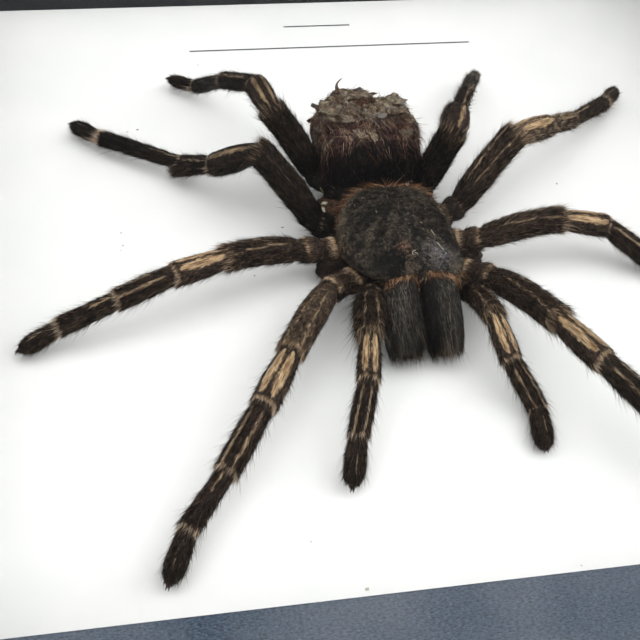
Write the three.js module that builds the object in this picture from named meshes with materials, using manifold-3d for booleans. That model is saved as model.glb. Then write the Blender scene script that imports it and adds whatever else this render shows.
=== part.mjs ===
// A large dried spider glued to the white backing board of a black box frame.
// Millimetres. The frame lies on its back: +Z goes up through the glass, and +Y is the
// edge that is at the top when the frame hangs, which the spider's head points to.
import * as THREE from 'three';
import { mergeVertices } from 'three/addons/utils/BufferGeometryUtils.js';
import Module from 'manifold-3d';

const wasm = await Module();
wasm.setup();

// ---- Frame -----------------------------------------------------------------------------
const SIGHT = 188;            // side of the square opening in front of the glass
const RAIL_WIDTH = 20;        // seen from the front
const RAIL_HEIGHT = 44;       // from the wall to the front face
const REBATE = 6;             // how far the lip reaches over the glass
const LIP = 3.5;              // thickness of the lip
const EDGE_ROUND = 1.6;       // rounding of the outer front edge
const LIP_ROUND = 0.5;        // rounding of the edge next to the glass
const MITRE_GAP = 0.05;       // at each rail end, so two rails meet with a hairline
const FIT_GAP = 0.3;          // between the rebate and what lies in it
const GLASS = 2;
const BOARD = 3;
const PANEL = 3;
const RECESS = 4;             // the back panel lies this deep behind the rails
const WALL = 4.7;             // thickness of the black strips that hold the glass off

const OUTER = SIGHT + 2 * RAIL_WIDTH;
const INSERT = SIGHT + 2 * REBATE - 2 * FIT_GAP;
const BOARD_TOP = RECESS + PANEL + BOARD;
const GLASS_TOP = RAIL_HEIGHT - LIP;
const TOUCH = 0.05;           // hairline left between two pieces that lie on each other

// ---- Fixings on the back ---------------------------------------------------------------
const TAB = { width: 8, length: 14, sunk: 6, thick: 0.8, fromCorner: 45 };
const SLOT_GAP = 0.2;
const HANGER = { width: 42, height: 9, thick: 0.8, teeth: 9, tooth: 2, y: 78, off: 1.2 };
const RIVET = { head: 2.3, shank: 1.1, shoulder: 1.5, cap: 0.6, apart: 34 };

// ---- Spider, heights above the board ---------------------------------------------------
const BODY_X = 0.4;           // the animal lies a little to the right of the middle
const CARAPACE = {
  y: 3.8, halfLength: 16.2, halfWidth: 11.8, top: 15.6, turn: -2,
  rim: 9.8, frontRim: 13, rimRise: [4, 14], // the rim climbs towards the front, between these
  under: 0.9,                 // how far it bulges below its rim
  blunt: 0.06, narrow: 0.2,   // shares of length and width that the front loses
};
const HEAD = { along: 10, spread: 6, rise: 1.2 }; // the raised front of the shield
const STERNUM = { y: 1, halfLength: 9.5, halfWidth: 4.6, z: 3.2, taper: 0.8 };
const ABDOMEN = {
  x: 2.9, y: -25.6, z: 12, halfLength: 10.9, halfWidth: 11.3, halfHeight: 8,
  crease: 0.05, flatness: 1.6, waist: 0.2,
};
const SPINNERET = { length: 5, radius: 0.9, apart: 1.4, splay: 12, out: 1, below: 1 };
const STALK = { radius: 1.6, length: 9, y: -14.5, z: 8 };
const CHELICERA = {
  x: 3.95, shift: 0.45, y: 22.2, z: 7.35, halfWidth: 3.7, halfLength: 8.4, halfHeight: 3.8,
  tilt: -19, bluntness: 0.7, squareness: 0.85, thinning: 0.08,
};
const FANG = { length: 7, radius: 0.7, y: 26.4, z: 1.3, droop: 4, shoulder: 0.2, belly: 0.75 };

// Femur, patella, tibia, metatarsus and tarsus; a palp has no metatarsus.
const LENGTHS = {
  leg_1: [20, 13.2, 13.6, 12.2, 9.4],
  leg_2: [17, 11, 11.4, 11.8, 9],
  leg_3: [19, 13.5, 10.4, 21, 8.8],
  leg_4: [17.5, 11, 14, 18, 8.8],
  palp: [14.5, 9.5, 10.4, 9.2],
};
// A limb that is swollen or withered has radii of its own.
const RADII = {
  leg_1: [2.7, 2.5, 2.25, 1.85, 2.0],
  leg_2: [2.6, 2.45, 2.15, 1.9, 1.85],
  leg_3: [2.8, 2.45, 2.0, 1.65, 1.75],
  leg_4: [2.7, 2.35, 1.9, 1.6, 1.55],
  leg_left_4: [2.9, 2.6, 1.6, 1.4, 1.4],
  palp: [2.2, 2.05, 1.9, 2.05],
};
// Each limb: where the femur starts, then each segment's heading (0 is +X, 90 is +Y) and
// its climb, in degrees. The animal's right side is at +X.
const LIMBS = {
  leg_right_1: { hip: [17.5, 15.5, 8.5],
    heading: [59, 60, 55, 52, 63], climb: [7, 1, -13, -7, -26],
  },
  leg_right_2: { hip: [21, 3.5, 8],
    heading: [19, 21, 17, 10, 13], climb: [15, 3, -12, -21, -26],
  },
  leg_right_3: { hip: [16, -4.5, 7],
    heading: [-40, -38, -51, -35, -48], climb: [40, -39, -30, -4, -8],
  },
  leg_right_4: { hip: [14.7, -17.8, 9.4],
    heading: [-16, -81, -65, -71, -45], climb: [57, -7, -30, -39, -13],
  },
  leg_left_1: { hip: [-15.5, 15, 8.5],
    heading: [111, 107, 130, 124, 120], climb: [18, 10, -18, -27, -31],
  },
  leg_left_2: { hip: [-16, 4, 8.5],
    heading: [182, 181, 147, 156, 160], climb: [12, -15, -25, -6, -3],
  },
  leg_left_3: { hip: [-14.5, -7.5, 7],
    heading: [-147, -145, -146, -136, -130], climb: [38, -17, -19, -18, -9],
  },
  leg_left_4: { hip: [-9.1, -15.9, 5.2],
    heading: [136, -112, -116, -114, -118], climb: [75.5, -14, -16, -26.5, -25],
  },
  palp_right: { hip: [10, 18, 9.5],
    heading: [77, 78, 70, 75], climb: [16, -10, -23, -33],
  },
  palp_left: { hip: [-11, 15.4, 5.5],
    heading: [92, 98, 125, 83], climb: [28, -15, -40, -4],
  },
};
// Where each coxa starts beside the breastplate, for the right side.
const COXA_START = {
  leg_1: [5.9, 8.4, 6.2],
  leg_2: [6.6, 2.6, 6],
  leg_3: [6.5, -3.4, 5.6],
  leg_4: [5.2, -9, 6],
  palp: [4.2, 13.4, 5.4],
};
const COXA_RADIUS = { leg: 2.5, palp: 1.9 };
const COXA_SHARE = 0.66;      // of the way to the hip; the trochanter is the rest
const TROCHANTER_SHARE = 0.96; // of the coxa's radius
// A segment's radius at shares of its length, and how far its ends are domed, in radii.
const SPINDLE = { radius: [[0.82, 0], [1, 0.35], [0.94, 0.88]], startDome: 0.5, endDome: 0.4 };
const LIMB_SIDES = 8;
const BODY_GAP = 0.3;         // between grown pieces that touch

// ---- Finishes --------------------------------------------------------------------------
const finish = (color, roughness, metalness = 0) =>
  new THREE.MeshStandardMaterial({ color, roughness, metalness });
const RAIL_PAINT = () => finish(0x3a4048, 0.45);
const BLACK_CARD = () => finish(0x1c1d1e, 0.8);
const WHITE_BOARD = () => finish(0xf4f4f1, 0.85);
const BROWN_PANEL = () => finish(0x7a5a3a, 0.8);
const STEEL = () => finish(0xb5b5b0, 0.4, 1);
const DARK_HAIR = () => finish(0x2c221b, 0.85);
const SHELL = () => finish(0x3a3730, 0.7);
const RUST_HAIR = () => finish(0x4c3428, 0.9);

const part = new THREE.Group();
part.name = 'framed_spider';

const add = (name, geometry, material) => {
  const mesh = new THREE.Mesh(geometry, material);
  mesh.name = name;
  part.add(mesh);
  return mesh;
};

// ---- Geometry helpers ------------------------------------------------------------------
const closed = (geometry) => {
  const bare = geometry.clone();
  bare.deleteAttribute('normal');
  bare.deleteAttribute('uv');
  const merged = mergeVertices(bare, 1e-4);
  const corners = [];
  const index = merged.index.array;
  for (let i = 0; i < index.length; i += 3) {
    const [a, b, c] = [index[i], index[i + 1], index[i + 2]];
    if (a !== b && b !== c && c !== a) corners.push(a, b, c);
  }
  merged.setIndex(corners);
  return merged;
};

const toSolid = (geometry) => {
  const merged = closed(geometry);
  return new wasm.Manifold(new wasm.Mesh({
    numProp: 3,
    vertProperties: new Float32Array(merged.attributes.position.array),
    triVerts: new Uint32Array(merged.index.array),
  }));
};

const toGeometry = (solid) => {
  const mesh = solid.getMesh();
  const geometry = new THREE.BufferGeometry();
  geometry.setAttribute('position', new THREE.BufferAttribute(mesh.vertProperties, 3));
  geometry.setIndex(Array.from(mesh.triVerts));
  geometry.computeVertexNormals();
  return geometry;
};

// Moves every vertex of a unit sphere to where shape(x, y, z) says, poles along Z.
const shapedSphere = (around, down, shape) => {
  const geometry = new THREE.SphereGeometry(1, around, down).rotateX(Math.PI / 2);
  const place = geometry.attributes.position;
  for (let i = 0; i < place.count; i += 1) {
    place.setXYZ(i, ...shape(place.getX(i), place.getY(i), place.getZ(i)));
  }
  return closed(geometry);
};

const box = (size, centre) =>
  new THREE.BoxGeometry(...size).translate(...centre);

// ---- Frame pieces ----------------------------------------------------------------------
// The section of the bottom rail: x is the distance in from the outer edge, y is height.
const railSection = () => {
  const shape = new THREE.Shape();
  shape.moveTo(0, 0);
  shape.lineTo(RAIL_WIDTH - REBATE, 0);
  shape.lineTo(RAIL_WIDTH - REBATE, GLASS_TOP);
  shape.lineTo(RAIL_WIDTH, GLASS_TOP);
  shape.lineTo(RAIL_WIDTH, RAIL_HEIGHT - LIP_ROUND);
  shape.absarc(RAIL_WIDTH - LIP_ROUND, RAIL_HEIGHT - LIP_ROUND, LIP_ROUND, 0, Math.PI / 2);
  shape.absarc(EDGE_ROUND, RAIL_HEIGHT - EDGE_ROUND, EDGE_ROUND, Math.PI / 2, Math.PI);
  shape.closePath();
  return shape;
};

// A rail that runs along X with its outer face at y = -OUTER/2, its ends cut at 45 degrees.
const bottomRail = () => {
  const rail = new THREE.ExtrudeGeometry(railSection(), {
    depth: OUTER, bevelEnabled: false, curveSegments: 4,
  });
  const place = rail.attributes.position;
  for (let i = 0; i < place.count; i += 1) {
    const inward = place.getX(i);
    const half = OUTER / 2 - MITRE_GAP - inward;
    const along = place.getZ(i) > OUTER / 2 ? half : -half;
    place.setXYZ(i, along, -OUTER / 2 + inward, place.getY(i));
  }
  return closed(rail);
};

const tabOffsets = [-1, 1].map((side) => side * (INSERT / 2 - TAB.fromCorner));
const tabHeight = RECESS - TAB.thick / 2 - TOUCH;
const tabCentreY = -OUTER / 2 + RAIL_WIDTH - REBATE - TAB.sunk + TAB.length / 2;

const railWithSlots = () => tabOffsets.reduce((rail, x) => {
  const depth = TAB.sunk + SLOT_GAP;
  const size = [TAB.width + 2 * SLOT_GAP, depth + 1, TAB.thick + 2 * SLOT_GAP];
  const y = -OUTER / 2 + RAIL_WIDTH - REBATE - depth + size[1] / 2;
  return rail.subtract(toSolid(box(size, [x, y, tabHeight])));
}, toSolid(bottomRail()));

const SIDES = { bottom: 0, right: 90, top: 180, left: 270 };

const addRails = () => {
  const section = toGeometry(railWithSlots());
  for (const [side, degrees] of Object.entries(SIDES)) {
    const turned = section.clone().rotateZ(THREE.MathUtils.degToRad(degrees));
    add(`rail_${side}`, turned, RAIL_PAINT());
  }
};

const addTabs = () => {
  for (const [side, degrees] of Object.entries(SIDES)) {
    tabOffsets.forEach((x, i) => {
      const tab = box([TAB.width, TAB.length, TAB.thick], [x, tabCentreY, tabHeight]);
      tab.rotateZ(THREE.MathUtils.degToRad(degrees));
      add(`retaining_tab_${side}_${i + 1}`, tab, STEEL());
    });
  }
};

const addLayers = () => {
  const wallHeight = GLASS_TOP - GLASS - BOARD_TOP;
  const board = [INSERT, INSERT, BOARD - TOUCH];
  add('backing_board', box(board, [0, 0, BOARD_TOP - BOARD / 2 + TOUCH / 2]), WHITE_BOARD());
  const pane = [INSERT, INSERT, GLASS - 2 * TOUCH];
  add('glass_pane', box(pane, [0, 0, GLASS_TOP - GLASS / 2]), finish(0xdfe8e6, 0.05));
  const z = BOARD_TOP + wallHeight / 2;
  const height = wallHeight - 2 * TOUCH;
  const offset = (INSERT - WALL) / 2;
  const short = INSERT - 2 * WALL - 2 * TOUCH;
  add('inner_wall_top', box([INSERT, WALL, height], [0, offset, z]), BLACK_CARD());
  add('inner_wall_bottom', box([INSERT, WALL, height], [0, -offset, z]), BLACK_CARD());
  add('inner_wall_left', box([WALL, short, height], [-offset, 0, z]), BLACK_CARD());
  add('inner_wall_right', box([WALL, short, height], [offset, 0, z]), BLACK_CARD());
};

const addBackPanel = () => {
  const half = INSERT / 2;
  const shape = new THREE.Shape();
  shape.moveTo(-half, -half).lineTo(half, -half).lineTo(half, half).lineTo(-half, half);
  shape.closePath();
  for (const side of [-1, 1]) {
    const hole = new THREE.Path();
    hole.absarc((side * RIVET.apart) / 2, HANGER.y, RIVET.shank + SLOT_GAP, 0, 2 * Math.PI, true);
    shape.holes.push(hole);
  }
  const panel = new THREE.ExtrudeGeometry(shape, {
    depth: PANEL - TOUCH, bevelEnabled: false, curveSegments: 6,
  });
  add('back_panel', closed(panel.translate(0, 0, RECESS)), BROWN_PANEL());
};

// A steel strip whose lower edge is cut into teeth, which sit on a nail's head.
const addHanger = () => {
  const { width, height, thick, teeth, tooth, y, off } = HANGER;
  const toothed = width / 2;
  const pitch = toothed / teeth;
  const shape = new THREE.Shape();
  shape.moveTo(-width / 2, height / 2);
  shape.lineTo(-width / 2, -height / 2);
  for (let i = 0; i < teeth; i += 1) {
    const x = -toothed / 2 + i * pitch;
    shape.lineTo(x, -height / 2);
    shape.lineTo(x + pitch / 2, -height / 2 + tooth);
  }
  shape.lineTo(toothed / 2, -height / 2);
  shape.lineTo(width / 2, -height / 2);
  shape.lineTo(width / 2, height / 2);
  shape.closePath();
  for (const side of [-1, 1]) {
    const hole = new THREE.Path();
    hole.absarc((side * RIVET.apart) / 2, 0, RIVET.shoulder + SLOT_GAP, 0, 2 * Math.PI, true);
    shape.holes.push(hole);
  }
  const plate = new THREE.ExtrudeGeometry(shape, {
    depth: thick, bevelEnabled: false, curveSegments: 6,
  });
  add('hanger_plate', closed(plate.translate(0, y, off)), STEEL());
  for (const [i, side] of [-1, 1].entries()) {
    const { head, shank, shoulder, cap, apart } = RIVET;
    const profile = [
      [0, off - TOUCH - cap], [head * 0.7, off - TOUCH - cap], [head, off - TOUCH - cap * 0.4],
      [head, off - TOUCH], [shoulder, off - TOUCH], [shoulder, RECESS - TOUCH],
      [shank, RECESS - TOUCH], [shank, RECESS + PANEL - 0.3], [0, RECESS + PANEL - 0.3],
    ].map(([r, z]) => new THREE.Vector2(r, z));
    const rivet = new THREE.LatheGeometry(profile, 16).rotateX(Math.PI / 2).scale(1, -1, 1);
    const upright = flipped(rivet).translate((side * apart) / 2, y, 0);
    add(`hanger_rivet_${i + 1}`, closed(upright), STEEL());
  }
};

// A mirrored geometry has its triangles' corners swapped, so that it still faces out.
const flipped = (geometry) => {
  const index = geometry.index.array;
  for (let i = 0; i < index.length; i += 3) {
    [index[i + 1], index[i + 2]] = [index[i + 2], index[i + 1]];
  }
  return geometry;
};

// ---- Spider ----------------------------------------------------------------------------
// An oval shield, cut straighter across the front, where its rim climbs to the eyes.
const carapaceSolid = (gap = 0) => {
  const { y, halfLength, halfWidth, top, turn, rim, frontRim, under } = CARAPACE;
  const shield = shapedSphere(28, 12, (sx, sy, sz) => {
    const front = Math.max(0, sy) ** 2;
    const along = sy * halfLength * (1 - CARAPACE.blunt * front);
    const across = sx * halfWidth * (1 - CARAPACE.narrow * front);
    const climb = THREE.MathUtils.smoothstep(along, ...CARAPACE.rimRise);
    const edge = rim + (frontRim - rim) * climb;
    const fromHead = Math.hypot(along - HEAD.along, across) / HEAD.spread;
    const crown = top + HEAD.rise * Math.exp(-(fromHead ** 2));
    const lift = sz > 0 ? sz * (crown - edge) : sz * under;
    const grown = 1 + gap / halfWidth;
    return [across * grown, along * grown, edge + lift + Math.sign(sz) * gap];
  });
  shield.rotateZ(THREE.MathUtils.degToRad(turn)).translate(BODY_X, y, BOARD_TOP);
  const height = rim - STERNUM.z;
  const breast = new THREE.CylinderGeometry(1, STERNUM.taper, height, 20).rotateX(Math.PI / 2);
  breast.scale(STERNUM.halfWidth + gap, STERNUM.halfLength + gap, 1);
  breast.translate(BODY_X, STERNUM.y, BOARD_TOP + STERNUM.z + height / 2);
  return toSolid(shield).add(toSolid(breast));
};

const halfSizes = (piece, gap) =>
  [piece.halfWidth, piece.halfLength, piece.halfHeight].map((half) => half + gap);

// A shrunken bag with a flattened, uneven top.
const abdomenSolid = (gap = 0) => {
  const { x, y, z, crease, flatness, waist } = ABDOMEN;
  const [halfWidth, halfLength, halfHeight] = halfSizes(ABDOMEN, gap);
  const bag = shapedSphere(22, 14, (sx, sy, sz) => {
    const folded = 1 + crease * Math.sin(5 * sx + 3 * sy) * Math.cos(4 * sy - 2 * sz);
    const flat = sz > 0 ? Math.tanh(flatness * sz) / Math.tanh(flatness) : sz;
    const narrowed = folded * (1 - waist * Math.max(0, sy) ** 2);
    return [sx * halfWidth * narrowed, sy * halfLength * folded, flat * halfHeight * folded];
  }).translate(x, y, z + BOARD_TOP);
  const { length, radius, apart, splay, out, below } = SPINNERET;
  const pair = [-1, 1].map((side) => {
    const finger = new THREE.ConeGeometry(radius, length, 8).rotateX(Math.PI);
    finger.rotateZ(THREE.MathUtils.degToRad(side * splay));
    return finger.translate(x + side * apart, y - halfLength - out, z + BOARD_TOP - below);
  });
  const stalk = new THREE.CylinderGeometry(STALK.radius, STALK.radius, STALK.length, 10);
  stalk.translate(BODY_X, STALK.y, BOARD_TOP + STALK.z);
  return [...pair, stalk].reduce((bagSolid, piece) => bagSolid.add(toSolid(piece)), toSolid(bag));
};

const powered = (value, power) => Math.sign(value) * Math.abs(value) ** power;

const cheliceraSolid = (side, gap = 0) => {
  const { x, shift, y, z, tilt, bluntness, squareness, thinning } = CHELICERA;
  const [halfWidth, halfLength, halfHeight] = halfSizes(CHELICERA, gap);
  const jaw = shapedSphere(16, 10, (sx, sy, sz) => [
    powered(sx, squareness) * halfWidth,
    powered(sy, bluntness) * halfLength,
    sz * halfHeight * (1 - thinning * sy),
  ]);
  jaw.rotateX(THREE.MathUtils.degToRad(tilt)).translate(side * x + shift, y, z + BOARD_TOP);
  return toSolid(jaw);
};

// A tapered hook folded back under the jaw.
const fangSolid = (side) => {
  const { length, radius, y, z, droop, shoulder, belly } = FANG;
  const profile = [[0, 0], [radius, shoulder], [radius * belly, length / 2], [0, length]]
    .map(([r, along]) => new THREE.Vector2(r, along));
  const fang = new THREE.LatheGeometry(profile, 8).rotateX(Math.PI);
  fang.rotateX(THREE.MathUtils.degToRad(droop));
  return fang.translate(side * CHELICERA.x + CHELICERA.shift, y, z + BOARD_TOP);
};

const direction = (heading, climb) => {
  const h = THREE.MathUtils.degToRad(heading);
  const c = THREE.MathUtils.degToRad(climb);
  return new THREE.Vector3(Math.cos(h) * Math.cos(c), Math.sin(h) * Math.cos(c), Math.sin(c));
};

// One limb segment: a spindle from start to end, its ends domed so it nests in the next.
const spindle = (start, end, radius, gap) => {
  const along = end.clone().sub(start);
  const length = along.length();
  const waypoints = SPINDLE.radius.map(([share, at]) => [radius * share + gap, length * at]);
  const profile = [
    [0, -radius * SPINDLE.startDome - gap],
    ...waypoints,
    [0, length + radius * SPINDLE.endDome + gap],
  ].map(([r, y]) => new THREE.Vector2(r, y));
  const turn = new THREE.Quaternion().setFromUnitVectors(
    new THREE.Vector3(0, 1, 0), along.normalize());
  return toSolid(new THREE.LatheGeometry(profile, LIMB_SIDES).applyQuaternion(turn)
    .translate(...start.toArray()));
};

const limbJoints = (kind, limb) => {
  const joints = [new THREE.Vector3(...limb.hip)];
  LENGTHS[kind].forEach((length, i) => {
    const step = direction(limb.heading[i], limb.climb[i]).multiplyScalar(length);
    joints.push(joints[i].clone().add(step));
  });
  return joints.map((joint) => joint.setZ(joint.z + BOARD_TOP));
};

const limbSolid = (name, limb, gap = 0) => {
  const palp = name.startsWith('palp');
  const kind = palp ? 'palp' : `leg_${name.slice(-1)}`;
  const side = name.includes('right') ? 1 : -1;
  const joints = limbJoints(kind, limb);
  const [x, y, z] = COXA_START[kind];
  const inner = new THREE.Vector3(BODY_X + side * x, y, z + BOARD_TOP);
  const ring = inner.clone().lerp(joints[0], COXA_SHARE);
  const coxaRadius = COXA_RADIUS[palp ? 'palp' : 'leg'];
  const trochanter = spindle(ring, joints[0], coxaRadius * TROCHANTER_SHARE, gap);
  let solid = spindle(inner, ring, coxaRadius, gap).add(trochanter);
  (RADII[name] ?? RADII[kind]).forEach((radius, i) => {
    solid = solid.add(spindle(joints[i], joints[i + 1], radius, gap));
  });
  return solid;
};

// Each grown piece is cut back from those placed before it, a small gap away from them.
const addSpider = () => {
  let taken = carapaceSolid(BODY_GAP);
  const place = (name, make, material) => {
    add(name, toGeometry(make(0).subtract(taken)), material);
    taken = taken.add(make(BODY_GAP));
  };
  add('carapace', toGeometry(carapaceSolid()), SHELL());
  place('abdomen', abdomenSolid, RUST_HAIR());
  for (const [side, sign] of [['right', 1], ['left', -1]]) {
    place(`chelicera_${side}`, (gap) => cheliceraSolid(sign, gap), SHELL());
    add(`fang_${side}`, closed(fangSolid(sign)), DARK_HAIR());
  }
  for (const [name, limb] of Object.entries(LIMBS)) {
    place(name, (gap) => limbSolid(name, limb, gap), DARK_HAIR());
  }
};

addRails();
addLayers();
addBackPanel();
addTabs();
addHanger();
addSpider();

export default part;
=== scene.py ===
"""A dried spider in a glazed box frame: skins, hair, card, glass and paint on the CAD frame."""

import math

import bpy
import numpy as np
from mathutils import Matrix, Vector, noise


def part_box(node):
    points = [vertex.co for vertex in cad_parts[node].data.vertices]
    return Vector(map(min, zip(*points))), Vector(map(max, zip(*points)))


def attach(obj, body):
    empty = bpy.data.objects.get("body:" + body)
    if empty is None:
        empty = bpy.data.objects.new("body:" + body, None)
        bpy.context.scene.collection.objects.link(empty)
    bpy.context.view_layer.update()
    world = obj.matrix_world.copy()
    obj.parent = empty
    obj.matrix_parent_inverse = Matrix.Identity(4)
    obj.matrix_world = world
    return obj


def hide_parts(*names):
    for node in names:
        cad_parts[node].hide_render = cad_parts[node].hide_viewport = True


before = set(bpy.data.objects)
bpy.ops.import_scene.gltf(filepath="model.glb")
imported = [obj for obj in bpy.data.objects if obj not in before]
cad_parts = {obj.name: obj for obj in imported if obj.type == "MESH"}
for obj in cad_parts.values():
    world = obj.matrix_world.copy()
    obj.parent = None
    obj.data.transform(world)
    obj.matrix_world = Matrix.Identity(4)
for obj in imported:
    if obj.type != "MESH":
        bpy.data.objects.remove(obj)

bl_info = {
    "name": "Framed Spider",
    "version": (1, 0, 0),
    "blender": (4, 5, 0),
    "location": "View3D > Sidebar > Framed Spider",
    "description": "Builds the skins, hair, finishes and stage of a spider in a glazed box frame",
    "category": "Object",
}

MM = 0.001
BODY = "root"
BOARD_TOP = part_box("backing_board")[1].z / MM
SPIDER_X = 0.4  # the animal lies a little to the right of the middle

# ---- The animal's measures, in mm, heights above the board ------------------------------
SEGMENTS = ("coxa", "trochanter", "femur", "patella", "tibia", "metatarsus", "tarsus")
LENGTHS = {
    "leg_1": (20, 13.2, 13.6, 12.2, 9.4),
    "leg_2": (17, 11, 11.4, 11.8, 9),
    "leg_3": (19, 13.5, 10.4, 21, 8.8),
    "leg_4": (17.5, 11, 14, 18, 8.8),
    "palp": (14.5, 9.5, 10.4, 9.2),
}
RADII = {
    "leg_1": (2.7, 2.5, 2.25, 1.85, 2.0),
    "leg_2": (2.6, 2.45, 2.15, 1.9, 1.85),
    "leg_3": (2.8, 2.45, 2.0, 1.65, 1.75),
    "leg_4": (2.7, 2.35, 1.9, 1.6, 1.55),
    "leg_left_4": (2.9, 2.6, 1.6, 1.4, 1.4),  # swollen at the knee and withered beyond it
    "palp": (2.2, 2.05, 1.9, 2.05),
}
# Each limb: where the femur starts, then each segment's heading and climb in degrees.
LIMBS = {
    "leg_right_1": ((17.5, 15.5, 8.5), (59, 60, 55, 52, 63), (7, 1, -13, -7, -26)),
    "leg_right_2": ((21, 3.5, 8), (19, 21, 17, 10, 13), (15, 3, -12, -21, -26)),
    "leg_right_3": ((16, -4.5, 7), (-40, -38, -51, -35, -48), (40, -39, -30, -4, -8)),
    "leg_right_4": ((14.7, -17.8, 9.4), (-16, -81, -65, -71, -45), (57, -7, -30, -39, -13)),
    "leg_left_1": ((-15.5, 15, 8.5), (111, 107, 130, 124, 120), (18, 10, -18, -27, -31)),
    "leg_left_2": ((-16, 4, 8.5), (182, 181, 147, 156, 160), (12, -15, -25, -6, -3)),
    "leg_left_3": ((-14.5, -7.5, 7), (-147, -145, -146, -136, -130), (38, -17, -19, -18, -9)),
    "leg_left_4": ((-9.1, -15.9, 5.2), (136, -112, -116, -114, -118), (75.5, -14, -16, -26.5, -25)),
    "palp_right": ((10, 18, 9.5), (77, 78, 70, 75), (16, -10, -23, -33)),
    "palp_left": ((-11, 15.4, 5.5), (92, 98, 125, 83), (28, -15, -40, -4)),
}
COXA_START = {
    "leg_1": (5.9, 8.4, 6.2),
    "leg_2": (6.6, 2.6, 6),
    "leg_3": (6.5, -3.4, 5.6),
    "leg_4": (5.2, -9, 6),
    "palp": (4.2, 13.4, 5.4),
}
COXA_RADIUS = {"leg": 2.5, "palp": 1.9}
COXA_SHARE = 0.66
TROCHANTER_SHARE = 0.96
SKIN_SHARE = 0.93  # of the radius over the hair, which the CAD limbs have


# ---- The values a user would change -----------------------------------------------------
def shade(name, description, value):
    """A colour property; value is an sRGB hex string."""
    return bpy.props.StringProperty(name=name, description=description + " (sRGB hex)", default=value)


def size(name, description, value):
    """A size property in millimetres."""
    description += ", in mm"
    return bpy.props.FloatProperty(name=name, description=description, default=value, min=0.0)


class BoxFinish(bpy.types.PropertyGroup):
    """Colours and sizes of the box."""

    # The slate blue stands for near-black satin paint with its sheen painted in.
    paint: shade("Rail paint", "Slate-blue satin paint of the rails", "526274")
    fleck: shade("Paint fleck", "Darker fleck in the rail paint", "202936")
    card: shade("Wall card", "Black card strips along the inside", "111315")
    board: shade("Board", "White mounting board", "F3F3F1")
    panel: shade("Back panel", "Brown hardboard back", "7A5B3C")
    ink: shade("Rule ink", "Two plain printed rules at the far edge", "4A4A4A")
    fleck_size: size("Fleck size", "Grain of the fleck in the paint", 0.27)
    rule_long: size("Long rule", "Length of the long printed rule", 71.0)
    rule_short: size("Short rule", "Length of the short printed rule", 17.0)
    rule_width: size("Rule width", "Width of both printed rules", 0.5)


class AnimalFinish(bpy.types.PropertyGroup):
    """Colours of the animal and the measures of its coat."""

    dark: shade("Dark hair", "Deepest hair colour", "080605")
    brown: shade("Brown hair", "Lighter hair colour", "4A3B31")
    skin: shade("Skin", "Bare dark skin under the hair", "0D0907")
    stripe: shade("Stripe", "Bare stripes along the legs", "C6AE88")
    ring: shade("Ring", "Pale joint rings", "A8927A")
    rust: shade("Rust", "Rust-orange hair at the joints and shield edge", "88603C")
    shell: shade("Shell", "Shield of the front body", "4A4238")
    shell_pale: shade("Shell margin", "Paler dusty margin of the shield", "665C4C")
    strand: shade("Pale strands", "The few faded hairs among the dark ones", "7C6A56")
    jaw: shade("Jaw hair", "Grey hair of the jaws", "5A544D")
    crust: shade("Crust", "Dried olive crust on the rear body", "DCCCAE")
    mauve: shade("Rear hair", "Mauve-brown strands of the rear body", "5E4340")
    coat_length: size("Coat length", "Short hair of the legs", 1.6)
    bristle_length: size("Bristle length", "Long hair of the legs", 3.0)
    hair_width: size("Hair width", "Thickness of one hair at its root", 0.1)
    coat_density: bpy.props.FloatProperty(
        name="Coat density", description="Short hairs to a square mm", default=23.0, min=1.0
    )


class StageSetup(bpy.types.PropertyGroup):
    """Camera and light."""

    lens: bpy.props.FloatProperty(name="Lens", description="Focal length in mm", default=67.5)
    key: bpy.props.FloatProperty(
        name="Key light", description="Power of the large light", default=14.2, unit="POWER"
    )
    fill: bpy.props.FloatProperty(
        name="Fill lights", description="Power of each side light", default=4.2, unit="POWER"
    )
    ambient: bpy.props.FloatProperty(
        name="Room light", description="Brightness of the room", default=0.05
    )


# ---- Helpers ----------------------------------------------------------------------------
def colour(hexadecimal):
    """An sRGB hex string as a linear RGBA colour."""
    channels = [int(hexadecimal[i : i + 2], 16) / 255 for i in (0, 2, 4)]
    return [c / 12.92 if c <= 0.04045 else ((c + 0.055) / 1.055) ** 2.4 for c in channels] + [1.0]


def add_node(tree, kind, settings=None, links=None):
    """Adds a node. Lower-case settings are properties and the others inputs; links lead to inputs."""
    made = tree.nodes.new(kind)
    for key, value in (settings or {}).items():
        if isinstance(key, str) and key.islower():
            setattr(made, key, value)
        else:
            made.inputs[key].default_value = value
    for key, source in (links or {}).items():
        tree.links.new(source, made.inputs[key])
    return made


def every(mm):
    """The noise scale that gives grains of that many mm."""
    return 1 / (mm * MM)


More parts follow.
